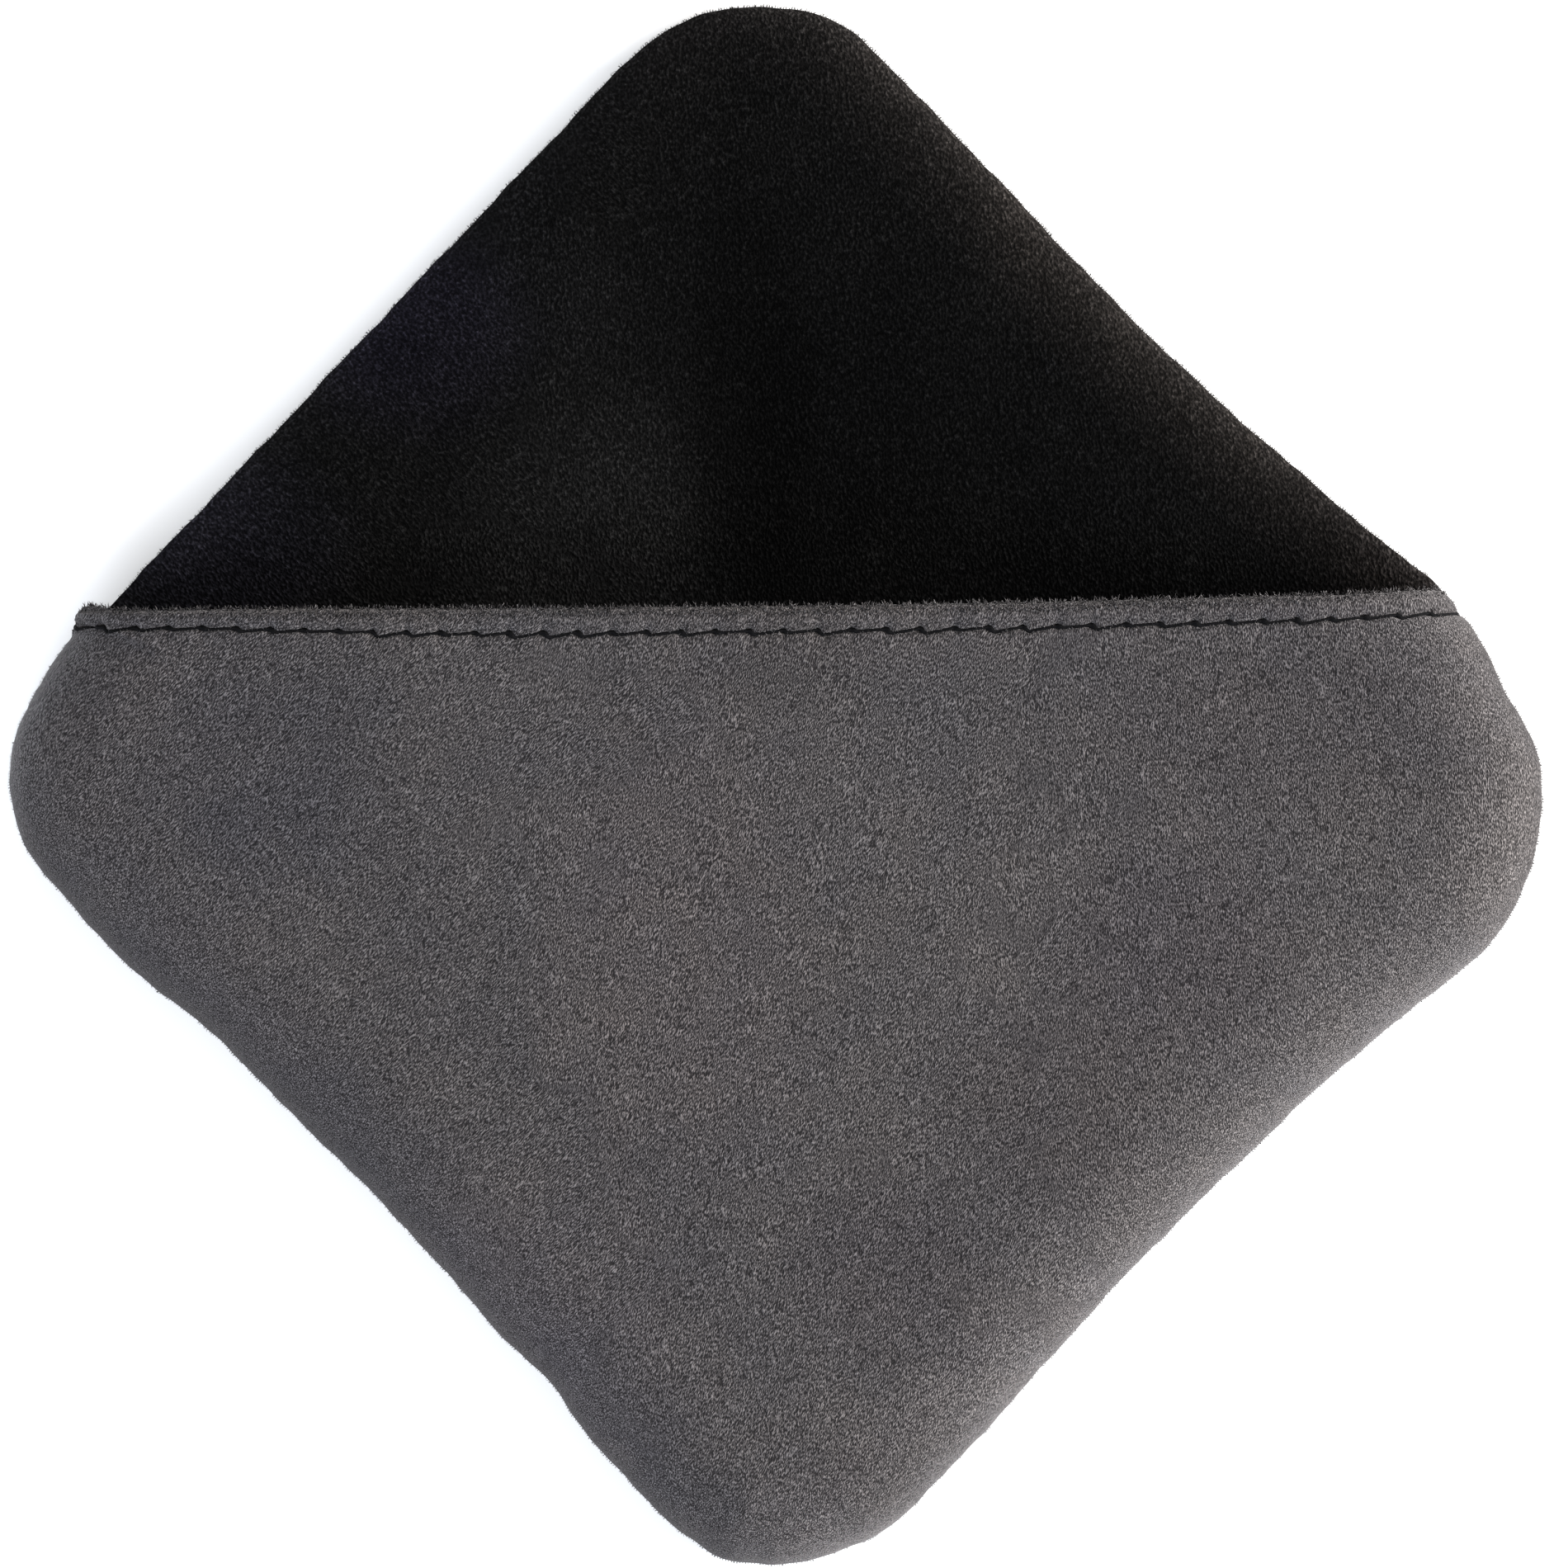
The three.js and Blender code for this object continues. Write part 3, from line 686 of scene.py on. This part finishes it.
def visible_hem():
    """The ends of the hem's stitch line, where it meets the outline on the left and on the right."""
    x = np.arange(-HEM_SEARCH, HEM_SEARCH, HEM_SEARCH_STEP)
    inset, _, _ = pocket_edge.locate(paired(x, hem_y(x) - stitch_inset(x)))
    inside = x[inset > 0]
    return inside[0], inside[-1]


hem_left, hem_right = visible_hem()
stitch_count = round((hem_right - hem_left) / STITCH_LENGTH)


def stitch_phase(x):
    """Counts the stitches from the left: a needle hole is at each whole number."""
    return (x - hem_left) / (hem_right - hem_left) * stitch_count


def stitch_y(x):
    """The line of the stitches: each drops from its needle hole, then climbs to the next."""
    phase = np.clip(stitch_phase(x), 0, stitch_count - 0.001)
    uneven = np.random.default_rng(STITCH_SEED).uniform(*STITCH_UNEVEN, stitch_count)[phase.astype(int)]
    share = phase % 1
    drop = STITCH_DROP * uneven * (1 - share) * smoothstep(share, 0, STITCH_DROP_RUN)
    return hem_y(x) - stitch_inset(x) - drop


def hem_relief(x, y, inset):
    """How far the hem's front stands out: a bead over the stitches, their groove, holes and puckers."""
    to_hole = np.abs((stitch_phase(x) + 0.5) % 1 - 0.5) * STITCH_LENGTH
    along, upwards = PUCKER_REACH
    above = y - hem_y(x) + stitch_inset(x)
    across = y - stitch_y(x)
    bead = BEAD_HEIGHT * np.sin(np.pi * np.clip(1 - above / stitch_inset(x), 0, 1)) ** BEAD_POWER
    groove = GROOVE_DEPTH * np.exp(-(across / GROOVE_SPREAD) ** 2)
    punched = HOLE_DEPTH * np.exp(-(above / HOLE_SPREAD) ** 2 - (to_hole / HOLE_SPREAD) ** 2)
    pulled = PUCKER * np.exp(-(to_hole / along) ** 2) * np.exp(-(above / upwards) ** 2)
    return (bead - groove - punched - pulled) * smoothstep(inset, *RELIEF_FADE)


def hem_thickness(below, inset):
    """The hem is two layers thick down to the end of its turned layer, which thins away at the seam."""
    turned = 1 - smoothstep(below, HEM_DEPTH, HEM_DEPTH + HEM_STEP_RUN)
    return SUEDE["thickness"] * (1 + turned * smoothstep(inset, *HEM_FADE))


def pocket_places():
    """The places of the pocket's flat cut: its mouth from the right to the left, its raw edge, the rest."""
    left, right = mouth_ends()
    steps = int((right[0] - left[0]) / HEM_STEP)
    mouth_x = np.linspace(right[0], left[0], steps + 1)
    mouth = paired(mouth_x, mouth_y(mouth_x))
    rings = [pocket_edge.ring(inset, RING_EVERY)[0] for inset in roll_insets(SUEDE)[::-1]]
    raw = rings[0][mouth_y(rings[0][:, 0]) - rings[0][:, 1] > HEM_STEP]
    start = np.argmin(np.linalg.norm(raw - left, axis=1))
    raw = np.roll(raw, -start, axis=0)
    grid = lattice(POCKET_STEP)
    inset, _, _ = pocket_edge.locate(grid)
    rest = np.concatenate([*rings[1:], grid[inset > SUEDE["roll"] + LATTICE_GAP * POCKET_STEP]])
    rest = rest[mouth_y(rest[:, 0]) - rest[:, 1] > HEM_ZONE]
    rows = np.concatenate([paired(mouth_x, mouth_y(mouth_x) - row) for row in HEM_ROWS])
    inset, _, _ = pocket_edge.locate(rows)
    rows = rows[inset > roll_insets(SUEDE)[-1] + HEM_STEP]
    return np.concatenate([mouth, raw, rows, rest]), len(mouth), len(mouth) + len(raw)


def pocket_skin(places):
    """The pocket's outer and inner points with its hem, the outward normals, and how far inside each is."""
    inset, _, normals = pocket_edge.locate(places)
    x, y = places.T
    below = mouth_y(x) - y
    thickness = hem_thickness(below, inset)
    outer, inner, outward = pocket_faces(places, inset, normals, thickness)
    outer = outer + outward * hem_relief(x, y, inset)[:, None]
    nose = np.clip(below / FOLD_ROUND, 0, 1)
    full = np.sqrt(1 - (1 - nose) ** 2)[:, None]
    core = (outer + inner) / 2
    return core + (outer - core) * full, core + (inner - core) * full, outward, inset


def pocket_piece():
    """The microsuede pocket, whose two faces meet in the round fold of its mouth."""
    places, shared, loop = pocket_places()
    outer, inner, _, inset = pocket_skin(places)
    return cloth_piece("pocket_cloth", places, outer, inner, loop, inset, shared)


# Threads

def tube(name, path, radius, closed=False, swell=0):
    """A twisted two-ply thread along a path, thicker where it swells."""
    ahead = np.roll(path, -1, axis=0) - np.roll(path, 1, axis=0)
    if not closed:
        ahead[0] = path[1] - path[0]
        ahead[-1] = path[-1] - path[-2]
    ahead = ahead / np.linalg.norm(ahead, axis=1, keepdims=True)
    side = np.cross(ahead, [0, 0, 1])
    side = side / np.linalg.norm(side, axis=1, keepdims=True)
    up = np.cross(side, ahead)
    run = np.concatenate([[0], np.cumsum(np.linalg.norm(np.diff(path, axis=0), axis=1))])
    rings = []
    for spoke in range(THREAD_SIDES):
        angle = 2 * np.pi * spoke / THREAD_SIDES
        twist = 2 * np.pi * run / (PLY_TURN_IN_RADII * radius)
        ply = radius * (1 + swell + PLY_DEPTH * np.cos(2 * angle - twist))
        rings.append(path + ply[:, None] * (np.cos(angle) * side + np.sin(angle) * up))
    points = np.stack(rings, axis=1).reshape(-1, 3)
    faces = []
    for station in range(len(path) if closed else len(path) - 1):
        after = (station + 1) % len(path)
        for spoke in range(THREAD_SIDES):
            beside = (spoke + 1) % THREAD_SIDES
            faces.append((station * THREAD_SIDES + spoke, after * THREAD_SIDES + spoke,
                          after * THREAD_SIDES + beside, station * THREAD_SIDES + beside))
    if not closed:
        faces.append(range(THREAD_SIDES - 1, -1, -1))
        faces.append(range(len(points) - THREAD_SIDES, len(points)))
    return mesh_piece(name, points, [tuple(face)[::-1] for face in faces])


def stitch_path(side):
    """The hem's thread on its front (1) or inside the pocket (-1), and its swell at the needle holes."""
    if side > 0:
        first, last = 0, stitch_count
    else:
        first, last = BOBBIN_SHORT_BY, stitch_count - BOBBIN_SHORT_BY
    phase = np.linspace(first, last, (last - first) * STEPS_PER_STITCH + 1)
    x = hem_left + phase / stitch_count * (hem_right - hem_left)
    places = paired(x, stitch_y(x))
    inset, _, normals = pocket_edge.locate(places)
    thickness = hem_thickness(np.full(len(x), STITCH_INSET), inset)
    outer, inner, outward = pocket_faces(places, inset, normals, thickness)
    share = phase % 1
    sunk = THREAD_DEPTH + HOLE_SINK * (1 - np.sin(np.pi * share) ** 0.5)
    base = outer if side > 0 else inner
    to_knot = ((share - KNOT_AT + 0.5) % 1 - 0.5) * STITCH_LENGTH
    gain = np.random.default_rng(STITCH_SEED + 1).uniform(*KNOT_GAIN, stitch_count + 1)
    knot = gain[np.round(phase - KNOT_AT).astype(int)] * np.exp(-(to_knot / KNOT_SPREAD) ** 2)
    return base - side * outward * sunk[:, None], knot


def seam_path(edge, cloth, level):
    """A thread's closed line round the edge, held in the turn of a cloth."""
    places, _, feet, _ = edge.ring(cloth["thickness"] + SEAM_THREAD_DEPTH, RING_EVERY)
    return np.column_stack([places, level(feet[:, 1])])


# Loose fibres of the nap, where the cloth is seen edge on

def fibre_piece(name, roots, aims, kinds):
    """Short tapered fibres of three sides, which curl a little and have a shade of their own each."""
    count = len(roots)
    chance = np.random.default_rng(FIBRE_SEED)
    aims = aims + chance.normal(0, FIBRE_SPREAD, (count, 3))
    aims = aims / np.linalg.norm(aims, axis=1, keepdims=True)
    curl = np.cross(aims, chance.normal(0, 1, (count, 3)))
    side = np.cross(aims, FIBRE_ASIDE)
    side = side / np.linalg.norm(side, axis=1, keepdims=True)
    other = np.cross(aims, side)
    long = np.array([[kind["length"]] for kind in kinds]) * chance.uniform(*FIBRE_LENGTHS, (count, 1))
    thick = np.array([[kind["radius"]] for kind in kinds])
    rings = []
    for share, width in FIBRE_PROFILE:
        centre = roots + aims * long * share + curl * long * FIBRE_CURL * share ** 2
        for corner in range(3):
            angle = 2 * np.pi * corner / 3
            rings.append(centre + thick * width * (np.cos(angle) * side + np.sin(angle) * other))
    per_fibre = len(rings)
    points = np.stack(rings, axis=1).reshape(-1, 3)
    pattern = [(0, 2, 1), (per_fibre - 3, per_fibre - 2, per_fibre - 1)]
    for ring in range(0, per_fibre - 3, 3):
        for corner in range(3):
            beside = (corner + 1) % 3
            pattern.append((ring + corner, ring + beside, ring + 3 + beside, ring + 3 + corner))
    faces = [[base + index for index in face]
             for base in range(0, len(points), per_fibre) for face in pattern]
    piece = mesh_piece(name, points, faces)
    shade = piece.data.attributes.new(SHADE_ATTRIBUTE, "FLOAT", "POINT")
    shade.data.foreach_set("value", np.repeat(chance.uniform(*FIBRE_SHADES, count), per_fibre))
    return piece


def pocket_roots():
    """Where the pocket's fibres stand in its flat cut, with the way that each leans and its kind."""
    chance = np.random.default_rng(FIBRE_SEED + 1)
    fold_x, hem_x, stitch_x = (chance.uniform(hem_left - NUB_ROOTS_REACH, hem_right, count)
                               for count in (FOLD_FIBRES, HEM_FIBRES, STITCH_FIBRES))
    side = chance.choice([-1, 1], STITCH_FIBRES)
    fold = mouth_y(fold_x) - chance.uniform(*FOLD_ROOTS, FOLD_FIBRES)
    hem = mouth_y(hem_x) - chance.uniform(*HEM_ROOTS, HEM_FIBRES)
    stitched = stitch_y(stitch_x) + side * chance.uniform(*STITCH_ROOTS, STITCH_FIBRES)
    rim = pocket_edge.points[chance.integers(0, len(outline), EDGE_FIBRES)]
    rim = rim[rim[:, 1] < mouth_y(rim[:, 0]) - EDGE_ROOTS_CLEAR]
    return (
        (paired(fold_x, fold), np.ones(FOLD_FIBRES), FOLD_FIBRE),
        (paired(hem_x, hem), np.ones(HEM_FIBRES), HEM_FIBRE),
        (paired(stitch_x, stitched), side, STITCH_FIBRE),
        (rim, np.ones(len(rim)), RIM_FIBRE),
    )


def pocket_fibres():
    """The nap along the hem's fold, on the hem, beside its stitches, and along the pocket's edge."""
    roots, aims, kinds = [], [], []
    for places, way, kind in pocket_roots():
        skin, _, outward, inset = pocket_skin(places)
        seen = inset > -ROOTS_PAST_EDGE
        roots.append(skin[seen])
        aims.append((outward * kind["stand"] + way[:, None] * kind["lean"])[seen])
        kinds += [kind] * seen.sum()
    return fibre_piece("pocket_nap", np.concatenate(roots), np.concatenate(aims), kinds)


def lining_fibres():
    """The pile along the edge of the free corner."""
    chance = np.random.default_rng(FIBRE_SEED + 2)
    pick = chance.integers(0, len(outline), EDGE_FIBRES)
    pick = pick[lining_edge.points[pick, 1] > mouth_y(lining_edge.points[pick, 0]) + EDGE_ROOTS_CLEAR]
    level = above_fold(LINING_LEVEL, lining_edge.points[pick, 1])
    roots = np.column_stack([lining_edge.points[pick], level])
    aims = np.column_stack([lining_edge.normals[pick], np.zeros(len(pick))])
    return fibre_piece("lining_pile", roots, aims, [PLUSH_FIBRE] * len(pick))


# Materials

def node(tree, kind, inputs=(), **settings):
    """A new shader node with its settings, and its inputs linked to sockets or set to values."""
    made = tree.nodes.new(kind)
    for key, value in settings.items():
        setattr(made, key, value)
    for key, value in dict(inputs).items():
        if isinstance(value, bpy.types.NodeSocket):
            tree.links.new(value, made.inputs[key])
        else:
            made.inputs[key].default_value = value
    return made


def material(name):
    made = bpy.data.materials.new(name)
    made.use_nodes = True
    made.node_tree.nodes.clear()
    return made, made.node_tree


def vector_math(tree, operation, first, second):
    return node(tree, "ShaderNodeVectorMath", {0: first, 1: second}, operation=operation).outputs[0]


def math_node(tree, operation, first, second):
    return node(tree, "ShaderNodeMath", {0: first, 1: second}, operation=operation).outputs[0]


def share_between(tree, value, low, high, **settings):
    """0 where a value is low and 1 where it is high."""
    return node(tree, "ShaderNodeMapRange", {
        "Value": value, "From Min": low, "From Max": high}, **settings).outputs[0]


def noise(tree, place, size):
    """A soft noise whose lumps are about size millimetres across."""
    return node(tree, "ShaderNodeTexNoise", {
        "Vector": place, "Scale": 1 / (size * MM), "Detail": 2.0, "Roughness": 0.5}).outputs["Fac"]


def streaks(tree, place, lean, length, width, detail):
    """Noise drawn out into short fibres that lean at an angle."""
    turned = node(tree, "ShaderNodeVectorRotate", {"Vector": place, "Angle": lean}, rotation_type="Z_AXIS")
    across = 1 / (width * MM)
    scaled = vector_math(tree, "MULTIPLY", turned.outputs[0], (1 / (length * MM), across, across))
    return node(tree, "ShaderNodeTexNoise", {
        "Vector": scaled, "Scale": 1.0, "Detail": detail, "Roughness": 0.5}).outputs["Fac"]


def ramp(tree, value, *stops):
    """A colour looked up by a value, between stops of a position and a colour each."""
    made = node(tree, "ShaderNodeValToRGB", {"Fac": value})
    elements = made.color_ramp.elements
    while len(elements) < len(stops):
        elements.new(0.5)
    for element, (position, colour) in zip(elements, stops):
        element.position = position
        element.color = (*colour, 1)
    return made.outputs["Color"]


# A Mix node takes its factor at 0, numbers at 2 and 3 and colours at 6 and 7, and gives a number at 0 and
# a colour at 2.
def multiplied(tree, first, second):
    return node(tree, "ShaderNodeMix", {0: 1.0, 6: first, 7: second},
                data_type="RGBA", blend_type="MULTIPLY").outputs[2]


def pushed(tree, place, size, amount):
    """A place moved about by a soft noise, so that the nap swirls."""
    swirl = node(tree, "ShaderNodeTexNoise", {"Vector": place, "Scale": 1 / (size * MM), "Detail": 1.0})
    push = vector_math(tree, "SUBTRACT", swirl.outputs["Color"], (0.5, 0.5, 0.5))
    push = vector_math(tree, "MULTIPLY", push, (amount * MM,) * 3)
    return vector_math(tree, "ADD", place, push)


def surface(tree, inputs):
    """Ends a material with a shader that has these inputs."""
    shader = node(tree, "ShaderNodeBsdfPrincipled", inputs)
    node(tree, "ShaderNodeOutputMaterial", {"Surface": shader.outputs[0]})


def painted_rim_light(tree, place, colour, rim):
    """Painted light and shade near an edge where the cloth is bent round: lighter and warmer on the lit
    right, cooler on the left.
    """
    reach = rim[-1]["inset"]
    inset = node(tree, "ShaderNodeAttribute", attribute_name=INSET_ATTRIBUTE).outputs["Fac"]
    depth = share_between(tree, inset, 0.0, reach * MM)
    left, right = (ramp(tree, depth, *((stop["inset"] / reach, stop[side]) for stop in rim))
                   for side in ("left", "right"))
    across = node(tree, "ShaderNodeSeparateXYZ", {"Vector": place}).outputs["X"]
    side = share_between(tree, across, -RIM_SIDES * MM, RIM_SIDES * MM)
    gain = node(tree, "ShaderNodeMix", {0: side, 6: left, 7: right}, data_type="RGBA").outputs[2]
    return multiplied(tree, colour, gain)


def finish_nap(tree, colour, height, depth, sheen, sheen_tint):
    """The shader of a brushed cloth: matt, with a sheen where its fibres are seen from the side."""
    shade = node(tree, "ShaderNodeAttribute", attribute_name=SHADE_ATTRIBUTE).outputs["Fac"]
    colour = multiplied(tree, colour, math_node(tree, "ADD", shade, 1.0))
    relief = node(tree, "ShaderNodeBump", {"Strength": 1.0, "Distance": depth * MM, "Height": height})
    surface(tree, {
        "Base Color": colour, "Roughness": 1.0, "Specular IOR Level": 0.02, "Sheen Weight": sheen,
        "Sheen Roughness": 0.3, "Sheen Tint": (*sheen_tint, 1), "Normal": relief.outputs[0]})


def patch(tree, place, colour, at, half, gain, core=PATCH_CORE):
    """Colours a soft oval of the cloth by a gain: painted shade and light, with in part the nap's own tone
    where it was brushed another way.
    """
    offset = vector_math(tree, "SUBTRACT", place, (at[0] * MM, at[1] * MM, 0))
    scaled = vector_math(tree, "MULTIPLY", offset, (1 / (half[0] * MM), 1 / (half[1] * MM), 0))
    distance = node(tree, "ShaderNodeVectorMath", {0: scaled}, operation="LENGTH").outputs["Value"]
    share = share_between(tree, distance, 1.0, core, interpolation_type="SMOOTHSTEP")
    gains = ramp(tree, share, (0.0, (1.0, 1.0, 1.0)), (1.0, gain))
    return multiplied(tree, colour, gains)


def nap_height(tree, place, leans, divides, length, width, detail):
    """The relief of a nap, about 0.5 in the mean: fibres that lean several ways, with a fine grain."""
    curled = pushed(tree, place, **NAP_CURL)
    across = node(tree, "ShaderNodeSeparateXYZ", {"Vector": pushed(tree, place, **LEAN_SWIRL)}).outputs["X"]
    fibres = streaks(tree, curled, leans[0], length, width, detail)
    for divide, lean in zip(divides, leans[1:]):
        swept = share_between(tree, across, (divide - LEAN_BLEND) * MM, (divide + LEAN_BLEND) * MM)
        after = streaks(tree, curled, lean, length, width, detail)
        fibres = node(tree, "ShaderNodeMix", {0: swept, 2: fibres, 3: after}).outputs[0]
    grain = math_node(tree, "MULTIPLY", noise(tree, place, width), GRAIN_SHARE)
    return math_node(tree, "ADD", math_node(tree, "MULTIPLY", fibres, 1 - GRAIN_SHARE), grain)


def swept_patches(tree, place, colour, swirl, size, low, high):
    """Colours a nap by soft patches, from a low gain to a high one."""
    swept = noise(tree, pushed(tree, place, **swirl), size)
    dark, light = SWEEP_RANGE
    return multiplied(tree, colour, ramp(tree, swept, (dark, low), (light, high)))


def nap_material(name, look):
    made, tree = material(name)
    place = node(tree, "ShaderNodeTexCoord").outputs["Object"]
    nap = nap_height(tree, place, look["leans"], look["divides"], **look["fibres"])
    # The nap's tone by height, with painted shade in its depths and painted highlights at its tips.
    colour = ramp(tree, nap, *look["shades"])
    for sweep in look["sweeps"]:
        colour = swept_patches(tree, place, colour, look["swirl"], **sweep)
    # Soft ovals of painted shade and light, in part the nap's own tone.
    for tone_and_shade in look["patches"]:
        colour = patch(tree, place, colour, **tone_and_shade)
    # Painted rim light and shade, lit from the right.
    colour = painted_rim_light(tree, place, colour, look["rim"])
    finish_nap(tree, colour, nap, **look["finish"])
    return made


def thread_material():
    made, tree = material("black_sewing_thread")
    place = node(tree, "ShaderNodeTexCoord").outputs["Object"]
    fuzz = noise(tree, place, THREAD_FUZZ["size"])
    colour = ramp(tree, fuzz, *THREAD_SHADES)
    relief = node(tree, "ShaderNodeBump", {
        "Strength": 0.4, "Distance": THREAD_FUZZ["depth"] * MM, "Height": fuzz})
    surface(tree, {
        "Base Color": colour, "Roughness": 0.85, "Specular IOR Level": 0.05, "Normal": relief.outputs[0]})
    return made


# Dressing


def dress(piece, made, nodes, bends):
    """Gives a piece its material and slot, hides the CAD nodes it stands for, and makes it ride on the mitt
    unless it bends, when its place is baked into its points.
    """
    piece.data.materials.append(made)
    if nodes:
        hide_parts(*nodes)
    if bends:
        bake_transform(piece)
    else:
        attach(piece, "mitt")
    return piece


suede = nap_material("grey_suede_nap", SUEDE_LOOK)
plush = nap_material("black_plush_pile", PLUSH_LOOK)
thread = thread_material()

rear = dress(rear_piece(), plush, ["rear_panel", "rear_panel_corner"], True)
lining = dress(lining_piece(), plush, ["lining_panel", "lining_panel_corner"], True)
pocket = dress(pocket_piece(), suede, ["pocket_panel"], False)
pocket_nap = dress(pocket_fibres(), suede, [], False)
lining_pile = dress(lining_fibres(), plush, [], True)
for side, name, stands_for in ((1, "hem_needle_stitches", "hem_needle_thread"),
                               (-1, "hem_bobbin_stitches", "hem_bobbin_thread")):
    path, swell = stitch_path(side)
    stitches = tube(name, path, THREAD_DIAMETER / 2, swell=swell)
    dress(stitches, thread, [stands_for], False)
lining_seam = seam_path(lining_edge, PLUSH, lambda y: above_fold(LINING_LEVEL, y))
rear_seam = seam_path(back_edge, REAR, lambda y: np.full(len(y), REAR_LEVEL))
for path, name, stands_for in (
        (lining_seam, "edge_needle_seam", ["edge_needle_thread", "corner_needle_thread"]),
        (rear_seam, "edge_bobbin_seam", ["edge_bobbin_thread", "corner_bobbin_thread"])):
    seam = tube(name, path, SEAM_THREAD_DIAMETER / 2, closed=True)
    dress(seam, thread, stands_for, True)


# Stage

def floor():
    mesh = bpy.data.meshes.new("floor")
    corners = [(across * FLOOR_HALF, up * FLOOR_HALF, FLOOR_LEVEL)
               for across, up in ((-1, -1), (1, -1), (1, 1), (-1, 1))]
    mesh.from_pydata(corners, [], [(0, 1, 2, 3)])
    made, tree = material("pale_floor")
    surface(tree, {
        "Base Color": (0.97, 0.97, 0.97, 1), "Roughness": 0.9, "Emission Color": (1, 1, 1, 1),
        "Emission Strength": FLOOR_GLOW})
    mesh.materials.append(made)
    new_object("floor", mesh)


def area_light(name, place, size, power, colour):
    """A soft rectangular light that faces the middle of the cloth."""
    light = bpy.data.lights.new(name, "AREA")
    light.shape = "RECTANGLE"
    light.size = size[0]
    light.size_y = size[1]
    light.energy = power
    light.color = colour
    placed = new_object(name, light)
    placed.location = place
    placed.rotation_euler = (-Vector(place)).to_track_quat("-Z", "Y").to_euler()


def world_light(strength, colour):
    world = bpy.data.worlds.new("studio")
    world.use_nodes = True
    background = world.node_tree.nodes["Background"]
    background.inputs["Color"].default_value = (*colour, 1)
    background.inputs["Strength"].default_value = strength
    bpy.context.scene.world = world


def camera():
    """Looks straight down, so that the frame is the photograph's at the height of the cloth."""
    data = bpy.data.cameras.new("camera")
    data.lens = LENS
    data.sensor_width = SENSOR
    placed = new_object("camera", data)
    width = PHOTO_SIDE / PHOTO_SCALE
    right = (PHOTO_SIDE / 2 - PHOTO_MIDDLE[0]) / PHOTO_SCALE
    up = (PHOTO_MIDDLE[1] - PHOTO_SIDE / 2) / PHOTO_SCALE
    placed.location = (right * MM, up * MM, (FOCUS_HEIGHT + width * LENS / SENSOR) * MM)
    bpy.context.scene.camera = placed


floor()
world_light(**WORLD_LIGHT)
for light in LIGHTS:
    area_light(**light)
camera()
bpy.context.scene.view_settings.view_transform = "Standard"
